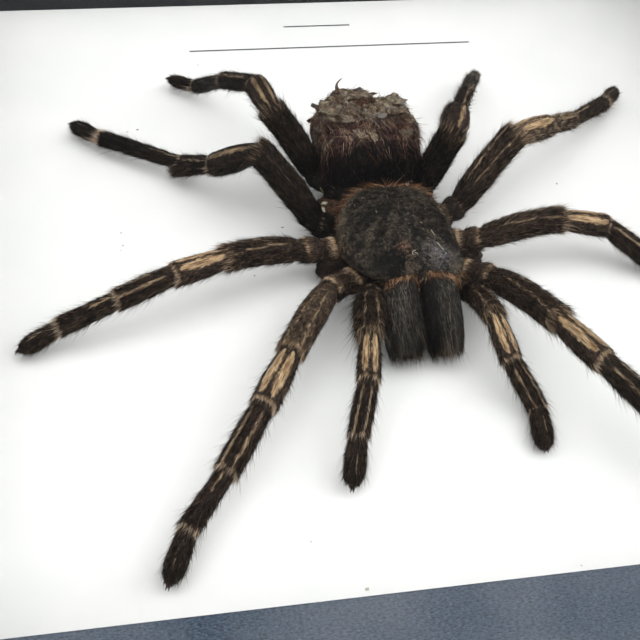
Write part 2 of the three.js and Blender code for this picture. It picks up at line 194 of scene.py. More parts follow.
class Finish:
    """A material with one Principled shader, and short calls for the nodes that feed it."""

    def __init__(self, name, **shader):
        self.material = bpy.data.materials.new(name)
        self.material.use_nodes = True
        self.tree = self.material.node_tree
        self.tree.nodes.clear()
        self.shader = add_node(self.tree, "ShaderNodeBsdfPrincipled", shader)
        add_node(self.tree, "ShaderNodeOutputMaterial", links={"Surface": self.shader.outputs[0]})
        self.place = add_node(self.tree, "ShaderNodeTexCoord").outputs["Object"]

    def mix(self, factor, first, second, blend="MIX"):
        """A mix of two colours, each a hex string or an output socket."""
        settings, links = {"data_type": "RGBA", "blend_type": blend}, {}
        for key, value in ((0, factor), (6, first), (7, second)):
            if isinstance(value, bpy.types.NodeSocket):
                links[key] = value
            else:
                settings[key] = colour(value) if isinstance(value, str) else value
        return add_node(self.tree, "ShaderNodeMix", settings, links).outputs[2]

    def maths(self, operation, value, number=None, other=None):
        """One operation on a socket, with a fixed number, a second socket or both."""
        settings, links = {"operation": operation}, {0: value}
        if number is not None:
            settings[1] = number
        if other is not None:
            links[1 if number is None else 2] = other
        return add_node(self.tree, "ShaderNodeMath", settings, links).outputs[0]

    def ramp(self, value, low, high):
        """Stretches low to high of a value onto 0 to 1."""
        limits = {"From Min": low, "From Max": high}
        return add_node(self.tree, "ShaderNodeMapRange", limits, {"Value": value}).outputs[0]

    def grain(self, scale, detail=3.0, roughness=0.6, vector=None):
        """A noise value whose grains are 1/scale metres across."""
        settings = {"Scale": scale, "Detail": detail, "Roughness": roughness}
        links = {"Vector": vector or self.place}
        return add_node(self.tree, "ShaderNodeTexNoise", settings, links).outputs["Fac"]

    def stretched(self, scale, vector=None):
        """Coordinates scaled along each axis."""
        links = {"Vector": vector or self.place}
        return add_node(self.tree, "ShaderNodeMapping", {"Scale": scale}, links).outputs[0]

    def attribute(self, name):
        """The value of a mesh attribute."""
        return add_node(self.tree, "ShaderNodeAttribute", {"attribute_name": name}).outputs["Fac"]

    def done(self, base, height=None, strength=0.3, depth=0.1, rough=None):
        """Links a base colour, a roughness and a bump of depth mm, and returns the material."""
        self.tree.links.new(base, self.shader.inputs["Base Color"])
        if rough is not None:
            self.tree.links.new(rough, self.shader.inputs["Roughness"])
        if height is not None:
            settings = {"Strength": strength, "Distance": depth * MM}
            bump = add_node(self.tree, "ShaderNodeBump", settings, {"Height": height})
            self.tree.links.new(bump.outputs[0], self.shader.inputs["Normal"])
        return self.material


def smooth_step(value, low, high):
    """0 below low, 1 above high and a soft rise between."""
    t = np.clip((np.asarray(value, float) - low) / (high - low), 0, 1)
    return t * t * (3 - 2 * t)


def band(value, middle, half, soft):
    """1 within half of the middle, falling to 0 over soft."""
    return 1 - smooth_step(np.abs(value - middle), half, half + soft)


def hill(points, x, y, radius):
    """A round bump of height 1 at x, y, for an array of points."""
    return np.exp(-((points[..., 0] - x) ** 2 + (points[..., 1] - y) ** 2) / radius**2)


def spot(x, y, middle, half):
    """1 at the middle of an oval spot, falling off like a bell over its half sizes."""
    return np.exp(-(((x - middle[0]) / half[0]) ** 2) - ((y - middle[1]) / half[1]) ** 2)


def roughness_at(points, scale, seed=0.0, octaves=4):
    """Fractal noise of about -1 to 1 at each point, with lumps about 1/scale mm across."""
    flat = points.reshape(-1, 3) * scale + seed
    values = [noise.fractal(Vector(p), 1.0, 2.0, octaves) for p in flat]
    return np.array(values).reshape(points.shape[:-1])


def ramp_noise(points, seed):
    """Noise at each point, from 0 to 1."""
    return np.clip(0.5 + roughness_at(points, 1.0, seed, 2), 0, 1)


def directions(vectors):
    """The same vectors with a length of 1."""
    return vectors / np.linalg.norm(vectors, axis=-1)[..., None]


def height_at(surface, x, y):
    """The height of the surface point that is nearest to x, y seen from above."""
    return surface[np.argmin((surface[:, 0] - x) ** 2 + (surface[:, 1] - y) ** 2), 2]


def add_object(name, data):
    """A new object in the scene."""
    made = bpy.data.objects.new(name, data)
    bpy.context.scene.collection.objects.link(made)
    return made


def new_piece(name, points, faces, material, attributes=None, uv=None):
    """A smooth mesh from points in mm. Attributes hold a value or vector per point, and uv a pair."""
    points = np.asarray(points, float).reshape(-1, 3)
    mesh = bpy.data.meshes.new(name)
    mesh.from_pydata((points * MM).tolist(), [], [tuple(face) for face in faces])
    for key, values in (attributes or {}).items():
        values = np.asarray(values, np.float32)
        vector = values.ndim > 1 and values.shape[-1] == 3 and values.size == points.size
        layer = mesh.attributes.new(key, "FLOAT_VECTOR" if vector else "FLOAT", "POINT")
        layer.data.foreach_set("vector" if vector else "value", values.reshape(-1))
    if uv is not None:
        layer = mesh.uv_layers.new(name="UVMap")
        corners = np.zeros(len(mesh.loops), np.int32)
        mesh.loops.foreach_get("vertex_index", corners)
        pairs = np.asarray(uv, np.float32).reshape(-1, 2)
        layer.data.foreach_set("uv", pairs[corners].reshape(-1))
    mesh.shade_smooth()
    mesh.materials.append(material)
    return add_object(name, mesh)


def grid_faces(rings, sides):
    """Quads between closed rings of points, and a fan over each end; the two end points come last."""
    faces = []
    for i in range(rings - 1):
        for j in range(sides):
            k = (j + 1) % sides
            faces.append((i * sides + j, (i + 1) * sides + j, (i + 1) * sides + k, i * sides + k))
    first, last = rings * sides, rings * sides + 1
    for j in range(sides):
        k = (j + 1) % sides
        faces.append((first, j, k))
        faces.append((last, (rings - 1) * sides + k, (rings - 1) * sides + j))
    return faces


def closed_ends(values):
    """Ring values (rings, sides, ...) as one list, with each end ring's mean for its end point."""
    values = np.asarray(values, float)
    ends = [values[0].mean(0), values[-1].mean(0)]
    return np.concatenate([values.reshape((-1,) + values.shape[2:]), np.array(ends)])


def merged(parts):
    """One list of points and one of faces from several (points, faces) pairs."""
    faces, first = [], 0
    for points, own in parts:
        faces += [tuple(v + first for v in face) for face in own]
        first += len(points)
    return np.concatenate([points for points, _ in parts]), faces


def ball_rings(rings, sides):
    """Unit directions of a ball's rings from the front pole (+Y) to the rear pole."""
    polar = np.linspace(0, np.pi, rings + 2)[1:-1][:, None]
    turn = np.linspace(0, 2 * np.pi, sides, endpoint=False)[None, :]
    level = np.cos(polar) + 0 * turn
    return np.stack([np.sin(polar) * np.cos(turn), level, np.sin(polar) * np.sin(turn)], -1)


def softened(values, spread):
    """Values along a line, averaged over a bell of that many steps, with the ends kept."""
    reach = int(3 * spread) + 1
    bell = np.exp(-0.5 * (np.arange(-reach, reach + 1) / spread) ** 2)
    bell /= bell.sum()
    before = 2 * values[:1] - values[reach:0:-1]
    after = 2 * values[-1:] - values[-2 : -reach - 2 : -1]
    padded = np.concatenate([before, values, after])
    if values.ndim == 1:
        return np.convolve(padded, bell, "valid")
    return np.stack([np.convolve(padded[:, k], bell, "valid") for k in range(values.shape[1])], 1)


def ring_directions(turn, back, flank):
    """Outward directions of a tube's rings, from its back towards its flank."""
    return np.cos(turn)[None, :, None] * back[:, None] + np.sin(turn)[None, :, None] * flank[:, None]


def taper(corners, radii, sides=10):
    """The points and faces of a closed tapered finger along a curve through the corners."""
    corners = np.array(corners, float)
    t = np.linspace(0, 1, len(corners))
    fine = np.linspace(0, 1, 8 * len(corners))
    centre = softened(np.stack([np.interp(fine, t, corners[:, k]) for k in range(3)], 1), 3.0)
    radius = np.interp(fine, t, radii)
    ahead = directions(np.gradient(centre, axis=0))
    hint = (0.3, 0.2, 1.0) if abs(ahead[:, 2]).mean() < 0.8 else (1.0, 0.2, 0.3)
    flank = directions(np.cross(ahead, np.array(hint)))
    back = np.cross(flank, ahead)
    turn = np.linspace(0, 2 * np.pi, sides, endpoint=False)[::-1]
    points = centre[:, None] + radius[:, None, None] * ring_directions(turn, back, flank)
    return closed_ends(points), grid_faces(len(fine), sides)


def place_piece(piece, slot, *nodes):
    """Puts a finished piece on the body and hides the CAD nodes it stands for. The slot is not used."""
    if nodes:
        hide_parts(*nodes)
    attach(piece, BODY)
    return piece


# ---- Hair -------------------------------------------------------------------------------
HAIR_INPUTS = (
    ("Density", "NodeSocketFloat", 20.0),
    ("Length", "NodeSocketFloat", 1.0),
    ("Width", "NodeSocketFloat", 0.08),
    ("Lift", "NodeSocketFloat", 0.35),
    ("Mess", "NodeSocketFloat", 0.2),
    ("Clump", "NodeSocketFloat", 0.3),
    ("Clump Size", "NodeSocketFloat", 1.0),
    ("Bend", "NodeSocketFloat", 0.2),
    ("Joints", "NodeSocketInt", 1),
    ("Seed", "NodeSocketInt", 1),
    ("Finish", "NodeSocketMaterial", None),
)


def build_hair_tree():
    """Spikes on a skin, laid along its "along" attribute.

    Its attributes "pile" and "cover" are shares of the hair's length and density.
    """
    tree = bpy.data.node_groups.new("Coat", "GeometryNodeTree")
    tree.interface.new_socket("Geometry", in_out="INPUT", socket_type="NodeSocketGeometry")
    for name, kind, value in HAIR_INPUTS:
        socket = tree.interface.new_socket(name, in_out="INPUT", socket_type=kind)
        if value is not None:
            socket.default_value = value
    tree.interface.new_socket("Geometry", in_out="OUTPUT", socket_type="NodeSocketGeometry")
    given = add_node(tree, "NodeGroupInput").outputs

    def maths(operation, first, second):
        settings, links = {"operation": operation}, {}
        for key, value in ((0, first), (1, second)):
            (links if isinstance(value, bpy.types.NodeSocket) else settings)[key] = value
        return add_node(tree, "ShaderNodeMath", settings, links).outputs[0]

    def product(first, *others):
        for other in others:
            first = maths("MULTIPLY", first, other)
        return first

    def vectors(operation, first, second=None, scale=None):
        links = {0: first}
        if second is not None:
            links[1] = second
        if scale is not None:
            links["Scale"] = scale
        return add_node(tree, "ShaderNodeVectorMath", {"operation": operation}, links).outputs[0]

    def named(name, kind="FLOAT"):
        settings = {"data_type": kind, "Name": name}
        return add_node(tree, "GeometryNodeInputNamedAttribute", settings).outputs[0]

    def stored(name, geometry, value):
        settings = {"data_type": "FLOAT", "domain": "POINT", "Name": name}
        links = {"Geometry": geometry, "Value": value}
        return add_node(tree, "GeometryNodeStoreNamedAttribute", settings, links).outputs[0]

    def chance(low, high, salt):
        settings = {"data_type": "FLOAT", 2: low, 3: high}
        links = {"Seed": maths("ADD", given["Seed"], salt)}
        return add_node(tree, "FunctionNodeRandomValue", settings, links).outputs[1]

    # Where the hairs stand.
    density = product(given["Density"], named("cover"), 1 / MM**2)
    roots = add_node(
        tree,
        "GeometryNodeDistributePointsOnFaces",
        links={"Mesh": given["Geometry"], "Density": density, "Seed": given["Seed"]},
    ).outputs
    normal = roots["Normal"]

    # Which way each one leans: along the skin, off it, and by chance, alone and in clumps.
    spread = add_node(
        tree,
        "FunctionNodeRandomValue",
        {"data_type": "FLOAT_VECTOR", 0: (-1, -1, -1), 1: (1, 1, 1)},
        {"Seed": maths("ADD", given["Seed"], 11)},
    ).outputs[0]
    position = add_node(tree, "GeometryNodeInputPosition").outputs[0]
    lumps = add_node(
        tree,
        "ShaderNodeTexNoise",
        {"Detail": 1.0},
        {"Vector": position, "Scale": maths("DIVIDE", 1 / MM, given["Clump Size"])},
    ).outputs["Color"]
    centred = {"operation": "SUBTRACT", 1: (0.5, 0.5, 0.5)}
    lumps = add_node(tree, "ShaderNodeVectorMath", centred, {0: lumps}).outputs[0]
    off = vectors("SCALE", normal, scale=given["Lift"])
    lean = vectors("ADD", named("along", "FLOAT_VECTOR"), off)
    lean = vectors("ADD", lean, vectors("SCALE", spread, scale=given["Mess"]))
    lean = vectors("ADD", lean, vectors("SCALE", lumps, scale=maths("MULTIPLY", given["Clump"], 4)))
    align = "FunctionNodeAlignRotationToVector"
    upright = add_node(tree, align, {"axis": "Z"}, {"Vector": lean}).outputs[0]
    links = {"Rotation": upright, "Vector": normal}
    turned = add_node(tree, align, {"axis": "X", "pivot_axis": "Z"}, links).outputs[0]

    # How long and wide each one is, and its tone.
    length = product(given["Length"], named("pile"), chance(0.45, 1.25, 5), MM)
    width = maths("MULTIPLY", given["Width"], MM)
    scale = add_node(tree, "ShaderNodeCombineXYZ", links={0: width, 1: width, 2: length}).outputs[0]
    toned = stored("tone", roots["Points"], chance(0.0, 1.0, 3))

    # One spike, bent under its own weight.
    spike = add_node(
        tree,
        "GeometryNodeMeshCone",
        {"fill_type": "NONE", "Vertices": 3, "Radius Top": 0.0, "Radius Bottom": 0.5, "Depth": 1.0},
        {"Side Segments": given["Joints"]},
    ).outputs[0]
    height = add_node(tree, "ShaderNodeSeparateXYZ", links={0: position}).outputs[2]
    tipped = stored("tip", spike, height)
    # The spike's side is a hair's width and its height the hair's length: the bend is a share of that.
    reach = maths("DIVIDE", maths("MULTIPLY", given["Bend"], given["Length"]), given["Width"])
    sag = product(height, height, reach, -1)
    offset = add_node(tree, "ShaderNodeCombineXYZ", links={0: sag}).outputs[0]
    links = {"Geometry": tipped, "Offset": offset}
    curved = add_node(tree, "GeometryNodeSetPosition", links=links).outputs[0]

    links = {"Points": toned, "Instance": curved, "Rotation": turned, "Scale": scale}
    hairs = add_node(tree, "GeometryNodeInstanceOnPoints", links=links).outputs[0]
    real = add_node(tree, "GeometryNodeRealizeInstances", links={"Geometry": hairs}).outputs[0]
    links = {"Geometry": real, "Material": given["Finish"]}
    painted = add_node(tree, "GeometryNodeSetMaterial", links=links).outputs[0]
    add_node(tree, "NodeGroupOutput", links={"Geometry": painted})
    return tree


def grow_hair(skin, name, slot, **settings):
    """Grows hair on a skin as a plain mesh piece of its own."""
    tree = bpy.data.node_groups.get("Coat") or build_hair_tree()
    holder = add_object(name + "_holder", skin.data.copy())
    modifier = holder.modifiers.new("Coat", "NODES")
    modifier.node_group = tree
    inputs = [item for item in tree.interface.items_tree if item.in_out == "INPUT"]
    identifiers = {item.name: item.identifier for item in inputs}
    for key, value in settings.items():
        modifier[identifiers[key.replace("_", " ").title()]] = value
    evaluated = holder.evaluated_get(bpy.context.evaluated_depsgraph_get())
    mesh = bpy.data.meshes.new_from_object(evaluated)
    mesh.name = name
    bpy.data.objects.remove(holder)
    for key in ("along", "pile", "cover"):
        if key in mesh.attributes:
            mesh.attributes.remove(mesh.attributes[key])
    if not mesh.polygons:
        raise RuntimeError(f"no hair grew on {skin.name}")
    return place_piece(add_object(name, mesh), slot)


# ---- Finishes ---------------------------------------------------------------------------
def rail_paint(box, lengthwise):
    # Satin paint on wood: near-black paint whose sheen is painted into a slate-blue base colour, with a
    # fine fleck, and worn a little lighter here and there.
    finish = Finish("satin_paint_on_wood", Roughness=0.42)
    drawn = finish.stretched(lengthwise)
    fleck = finish.ramp(finish.grain(every(box.fleck_size), 3.0, 0.7, drawn), 0.36, 0.66)
    speck = finish.ramp(finish.grain(every(0.3), 1.0), 0.66, 0.76)
    drift = finish.ramp(finish.grain(every(40)), 0.3, 0.7)
    base = finish.mix(fleck, box.fleck, box.paint)
    base = finish.mix(drift, base, finish.mix(0.12, base, "FFFFFF"))
    base = finish.mix(speck, base, finish.mix(0.08, base, "FFFFFF"))
    wood = finish.grain(every(1.2), 4.0, vector=drawn)
    return finish.done(base, wood, 0.25, 0.06, finish.ramp(fleck, -1.6, 2.6))


def wall_card(box):
    # Black card: dead matt with short paper fibres that catch a little light.
    finish = Finish("black_card", Roughness=0.82)
    fibres = finish.grain(every(0.5), 5.0, 0.75)
    return finish.done(finish.mix(finish.ramp(fibres, 0.4, 0.8), box.card, "303335"), fibres, 0.3, 0.05)


def mounting_board(box):
    # Coated white board: even and bright, with the faintest cloudiness and a fine tooth.
    finish = Finish("coated_white_board", Roughness=0.55)
    cloud = finish.ramp(finish.grain(every(22)), 0.35, 0.75)
    base = finish.mix(cloud, box.board, "ECEDEB")
    return finish.done(base, finish.grain(every(0.4), 4.0, 0.7), 0.12, 0.04)


def back_panel(box):
    # Pressed hardboard: brown felted fibres, smooth and slightly waxy.
    finish = Finish("pressed_hardboard", Roughness=0.6)
    fibres = finish.grain(every(0.9), 6.0, 0.8)
    base = finish.mix(finish.ramp(fibres, 0.35, 0.7), box.panel, "4E3822")
    return finish.done(base, fibres, 0.3, 0.08)


def window_glass():
    # Thin float glass: clear, with sharp reflections.
    finish = Finish("float_glass", **{"Transmission Weight": 1.0, "IOR": 1.5, "Roughness": 0.0})
    smears = finish.ramp(finish.grain(every(35), 2.0), 0.45, 0.9)
    return finish.done(finish.mix(smears, "FFFFFF", "FAFCFB"))


def zinc_steel():
    # Zinc-plated steel strip: pale grey with a fine rolled grain and cloudy dull patches.
    finish = Finish("zinc_plated_steel", Metallic=1.0, Roughness=0.4)
    rolled = finish.grain(every(0.25), 3.0, vector=finish.stretched((0.08, 1, 1)))
    base = finish.mix(finish.ramp(finish.grain(every(2.5)), 0.35, 0.7), "BDBDB8", "96978F")
    return finish.done(base, rolled, 0.15, 0.03, finish.ramp(rolled, -0.4, 1.7))


def coat_material(name, deep, light, animal, gloss=0.42, strand=None):
    # Dry keratin hair: near-black roots, no two hairs alike, pale or rust where banded; the tips are
    # lighter, partly their own brown and partly a painted highlight where thin hairs catch the light.
    finish = Finish(name, **{"Roughness": gloss, "Specular IOR Level": 0.06})
    tone, tip = finish.attribute("tone"), finish.attribute("tip")
    patch = finish.ramp(finish.grain(every(1.4), 4.0), 0.42, 0.68)
    # Painted highlight: each hair is lighter towards its tip, as thin tips that catch the light look;
    # the per-hair tone is its own.
    tip_highlight_and_tone = finish.maths("MULTIPLY_ADD", tip, 0.3, finish.maths("POWER", tone, 3.2))
    patch_and_tip_highlight = finish.maths("MULTIPLY_ADD", patch, 0.45, tip_highlight_and_tone)
    hair = finish.mix(finish.ramp(patch_and_tip_highlight, 0.2, 1.3), deep, light)
    faded = finish.maths("MULTIPLY", finish.ramp(tone, 0.84, 0.97), 0.75)
    hair = finish.mix(faded, hair, strand or animal.strand)
    # Gloom darkens the hair: a darker tone on some limbs and on the shield's blotches, and painted shade
    # on the jaws, between the coxae and in the rear body's creases.
    hair = finish.mix(finish.attribute("gloom"), hair, deep)
    banded = finish.mix(finish.attribute("warm"), animal.ring, animal.rust)
    banded = finish.mix(finish.ramp(tone, -0.2, 2.2), banded, "F2E2CC")
    # A band is made of single pale hairs, fewer towards its edge.
    share = finish.maths("SUBTRACT", finish.attribute("pale"), other=tone)
    return finish.done(finish.mix(finish.ramp(share, -0.03, 0.1), hair, banded))


def skin_material(name, deep, bare, animal, gloss=0.5):
    # Dried cuticle: leathery and finely wrinkled lengthwise, dark but for bare stripes of pinkish tan.
    finish = Finish(name, **{"Roughness": gloss, "Specular IOR Level": 0.15})
    flow = add_node(finish.tree, "ShaderNodeUVMap", {"uv_map": "UVMap"}).outputs[0]
    streaks = finish.grain(3.8, 5.0, 0.7, finish.stretched((1, 0.06, 1), flow))
    mottle = finish.grain(every(0.7), 3.0)
    dark = finish.mix(finish.ramp(mottle, 0.4, 0.75), deep, bare)
    stripe = finish.mix(finish.ramp(streaks, 0.42, 0.6), "5A4230", animal.stripe)
    cloud = finish.ramp(finish.grain(every(1.8), 2.0), 0.4, 0.7)
    stripe = finish.mix(cloud, stripe, "DACCBE", "MULTIPLY")
    stripe = finish.mix(finish.attribute("warm"), stripe, finish.mix(0.5, animal.rust, animal.stripe))
    base = finish.mix(finish.attribute("pale"), dark, stripe)
    # Gloom darkens the skin: a darker tone on some limbs, and painted shade on the jaws' inner sides and
    # tips.
    base = finish.mix(finish.attribute("gloom"), base, deep)
    return finish.done(base, streaks, 0.5, 0.12)


# ---- Limbs ------------------------------------------------------------------------------
STUB = "leg_right_3_stub"


def limb_path(name):
    """The limb's centre line: a list of (segment name, start, end, radius), in mm."""
    palp = name.startswith("palp")
    kind = "palp" if palp else "leg_" + name[-1]
    side = 1 if "right" in name else -1
    hip, headings, climbs = LIMBS[name]
    x, y, z = COXA_START[kind]
    start = np.array([SPIDER_X + side * x, y, z])
    hip = np.array(hip, float)
    ring = start + COXA_SHARE * (hip - start)
    radius = COXA_RADIUS["palp" if palp else "leg"]
    path = [("coxa", start, ring, radius), ("trochanter", ring, hip, radius * TROCHANTER_SHARE)]
    names = SEGMENTS[2:5] + SEGMENTS[6:] if palp else SEGMENTS[2:]
    radii = RADII.get(name, RADII[kind])
    for segment, length, heading, climb, radius in zip(names, LENGTHS[kind], headings, climbs, radii):
        h, c = math.radians(heading), math.radians(climb)
        step = length * np.array([math.cos(h) * math.cos(c), math.sin(h) * math.cos(c), math.sin(c)])
        path.append((segment, path[-1][2], path[-1][2] + step, radius))
    return path


# Share of the segment's radius along it: a narrow neck, a full middle and a rim over the next neck.
PROFILES = {
    "coxa": ((0, 0.85), (0.25, 1.02), (0.7, 1.16), (0.88, 1.12), (1, 0.74)),
    "trochanter": ((0, 0.74), (0.15, 1.04), (0.6, 1.18), (0.86, 1.14), (1, 0.78)),
    "femur": (
        (0, 0.74), (0.07, 0.92), (0.15, 0.97), (0.4, 1.06), (0.7, 1.03), (0.92, 1.06),
        (0.975, 1.08), (1, 0.88),
    ),
    "patella": ((0, 0.7), (0.08, 0.82), (0.25, 0.95), (0.5, 1.03), (0.9, 1.03), (0.97, 1.04), (1, 0.84)),
    "tibia": ((0, 0.78), (0.05, 0.9), (0.4, 1.0), (0.9, 1.0), (0.97, 1.03), (1, 0.82)),
    "metatarsus": ((0, 0.78), (0.06, 0.9), (0.5, 0.96), (0.9, 1.0), (0.97, 0.98), (1, 0.78)),
    "tarsus": ((0, 0.72), (0.1, 0.84), (0.5, 0.95), (0.72, 0.84), (0.88, 0.56), (1, 0.12)),
}
BOW = 0.8  # how far the middle of a femur stands over its chord
# How faded the hair is, on which segments, and how much of it is rubbed off.
WORN = {"leg_left_3": (0.4, SEGMENTS[3:5], 0.1), "leg_right_1": (0.14, ("femur",), 0.45)}
ROLLS = {"leg_left_4": -52}  # degrees the marks lie off the top of the limb
# How far the middle of a segment is swollen.
SWELLS = {
    ("leg_left_4", "patella"): 1.2, ("leg_right_3", "patella"): 1.12, ("leg_left_3", "patella"): 1.12,
    ("palp_right", "femur"): 1.22, ("leg_right_1", "femur"): 1.06,
}
# How broad the knee's stripes are.
STRIPES = {"leg_left_4": 0.42, "leg_right_4": 0.5, "leg_right_3": 0.6}
FUZZ = {"palp_right": 0.9, "leg_right_1": 0.5}  # extra length of the hair on the outer side of a femur
ARCS = {"1": 1.0, "2": 1.0, "3": 0.45, "4": 0.15}  # strength of the pale arcs at a leg's base
# How much darker than the rest a whole limb is.
DARKER = {
    "leg_right_3": 0.5, "leg_right_4": 0.42, "leg_left_4": 0.35, "leg_left_1": 0.1, "palp_right": 0.12,
}
USUAL_TIP_GLOOM = 0.28  # extra gloom past the knee
TIP_GLOOM = {"leg_left_3": 0.12, STUB: 0.0}
RING_STEP = 0.28  # between the rings of a limb's skin
LIMB_SIDES = 52
CENTRE_SOFTNESS = 3.2  # rings over which the bends at the joints are rounded
RADIUS_SOFTNESS = 0.8
TIP_SHARES = (0.9, 0.75, 0.5, 0.25)  # of the radius, for the rings that close a limb
# How the limbs' hair grows; see HAIR_INPUTS.
LIMB_COAT = {"lift": 0.42, "mess": 0.24, "clump": 0.14, "clump_size": 1.3}
LIMB_BRISTLES = {"density": 3.1, "lift": 0.7, "mess": 0.34, "clump": 0.12, "bend": 0.25, "joints": 2}
STUB_COAT = {"length": 2.0, "lift": 0.3, "mess": 0.4, "clump": 0.3, "seed": 91}


def limb_marks(segment, s, angle, wander, breadth):
    """The marks at s along a segment and an angle in degrees from its back.

    Returns the pale and warm shares, and the shares of the hair's length and density. Wander is a
    noise that makes the edges of the marks uneven, and breadth scales the knee's stripes.
    """
    angle = angle + 7 * wander
    side = np.abs(angle)
    s = s + 0.02 * wander
    pale = np.zeros_like(side + s)
    warm = np.zeros_like(side + s)
    patchy = smooth_step(wander, -0.5, 0.25)
    pile = 0.75 + 0.25 * smooth_step(side, 40, 110) + 0 * s
    cover = 1 - 0.55 * smooth_step(side, 115, 150) + 0 * s
    rim = smooth_step(s, 0.95, 0.968) * (0.55 + 0.45 * patchy)
    if segment in ("coxa", "trochanter"):
        curve = s + 0.0011 * np.clip(side - 20, 0, 90)
        arc = band(curve, 0.84, 0.035, 0.035) * (1 - smooth_step(side, 55, 90)) * (0.35 + 0.65 * patchy)
        glow = band(curve, 0.8, 0.12, 0.1) * (1 - smooth_step(side, 55, 95))
        pale = np.maximum(0.95 * arc, 0.13 * glow)
        warm = 0.2 * arc + 0.6 * glow * (1 - arc)
        pile = pile * (0.7 - 0.25 * arc)
    elif segment == "femur":
        lines = band(side, 13 + 24 * s, 1.6, 3) * smooth_step(s, 0.2, 0.35) * (0.4 + 0.6 * patchy)
        lines = lines * smooth_step(breadth, 0.5, 0.8)
        fuzz = smooth_step(s, 0.92, 0.985)
        edge = smooth_step(s, 0.968, 0.98) * (0.5 + 0.5 * patchy)
        pale = np.maximum(np.maximum(0.7 * lines, 0.34 * breadth * fuzz), 0.5 * breadth * edge)
        warm = 0.35 * lines + 0.5 * fuzz
        pile = pile * (1 + 0.6 * fuzz)
        cover = cover * (1 - 0.75 * lines)
    elif segment == "patella":
        lens = np.sqrt(np.clip(1 - ((s - 0.48) / 0.44) ** 2, 0, 1))
        stripe = band(side, 28, 19 * breadth * lens, 4) * (lens > 0)
        pale = np.maximum(stripe, 0.72 * rim)
        warm = stripe * (0.28 * (1 - smooth_step(s, 0.1, 0.45))) + 0.25 * rim
        short = 0.5 + 0.5 * smooth_step(side, 55, 95)
        pile = pile * short * (1 - 0.4 * stripe)
        cover = cover * (1 - 0.9 * stripe)
    elif segment == "tibia":
        lines = band(side, 30, 4.2, 3.5) * smooth_step(s, 0.08, 0.18) * (0.65 + 0.35 * patchy)
        pale = np.maximum(lines, 0.85 * rim)
        warm = 0.12 * lines + 0.15 * rim
        pile = pile * 1.1 * (1 - 0.35 * lines)
        cover = cover * (1 - 0.92 * lines)
    elif segment == "metatarsus":
        line = band(angle, 3, 4, 4) * (1 - smooth_step(s, 0.34, 0.44)) * smooth_step(s, 0.04, 0.1)
        rim = smooth_step(s, 0.935, 0.955) * (0.5 + 0.5 * patchy)
        pale = np.maximum(line, 0.95 * rim)
        warm = 0.15 * line
        pile = pile * (0.95 + 0.2 * smooth_step(s, 0.3, 0.6)) * (1 - 0.35 * line)
        cover = cover * (1 - 0.92 * line)
    else:
        line = band(angle, 4, 1.5, 4) * smooth_step(s, 0.25, 0.35) * (1 - smooth_step(s, 0.6, 0.75))
        pale = 0.5 * line
        pile = pile * 0.95 * (1 - 0.6 * smooth_step(s, 0.6, 1))
        cover = cover * 1.15
    return pale, warm, pile, cover


def limb_rings(name, path):
    """Centres and radii of the rings of a limb, and the number and share of the segment each is on."""
    centres, radii, places = [], [], []
    for index, (segment, start, end, radius) in enumerate(path):
        count = max(6, round(np.linalg.norm(end - start) / RING_STEP))
        profile = np.array(PROFILES[segment])
        bow = BOW if segment == "femur" else 0.0
        swelling = SWELLS.get((name, segment), 1) - 1
        for s in (np.arange(count) + 0.5) / count:
            arch = math.sin(math.pi * s)
            share = np.interp(s, profile[:, 0], profile[:, 1])
            centres.append(start + s * (end - start) + (0, 0, bow * arch))
            radii.append(radius * SKIN_SHARE * (1 + swelling * arch) * share)
            places.append((index, s))
    radii = softened(np.array(radii), RADIUS_SOFTNESS)
    radii[-len(TIP_SHARES):] *= TIP_SHARES
    return softened(np.array(centres), CENTRE_SOFTNESS), radii, np.array(places)


def limb_values(name, path, places, angle, wander, outward):
    """The limb's marks and gloom, one value for each point of its skin."""
    marks = np.zeros((4,) + wander.shape)
    for index, (segment, *_) in enumerate(path):
        here = places[:, 0] == index
        s = places[here, 1][:, None]
        marks[:, here] = np.array(limb_marks(segment, s, angle, wander[here], STRIPES.get(name, 1)))
    number = places[:, 0][:, None]
    base = (number < 2) + (number == 2) * (1 - smooth_step(places[:, 1], 0, 0.4))[:, None]
    arcs = ARCS.get(name[-1], 0.8)
    marks[0] *= 1 - (number < 2) * (1 - arcs)
    past_knee = TIP_GLOOM.get(name, USUAL_TIP_GLOOM) * (number > 3)
    gloom = np.clip(DARKER.get(name, 0) + base * (1 - arcs) + past_knee, 0, 0.95) + 0 * wander
    if name in WORN:
        faded, where, bare = WORN[name]
        here = np.isin([segment for segment, *_ in path], where)[number.astype(int)]
        marks[0] = np.maximum(marks[0], faded * smooth_step(wander, -0.4, 0.4) * here)
        marks[2:] *= 1 - bare * here
    outer = np.clip(outward[..., 0] * (1 if "right" in name else -1), 0, 1)
    marks[2] *= 1 + FUZZ.get(name, 0) * outer * (number == 2)
    values = {key: closed_ends(mark) for key, mark in zip(("pale", "warm", "pile", "cover"), marks)}
    values["gloom"] = closed_ends(gloom)
    return values


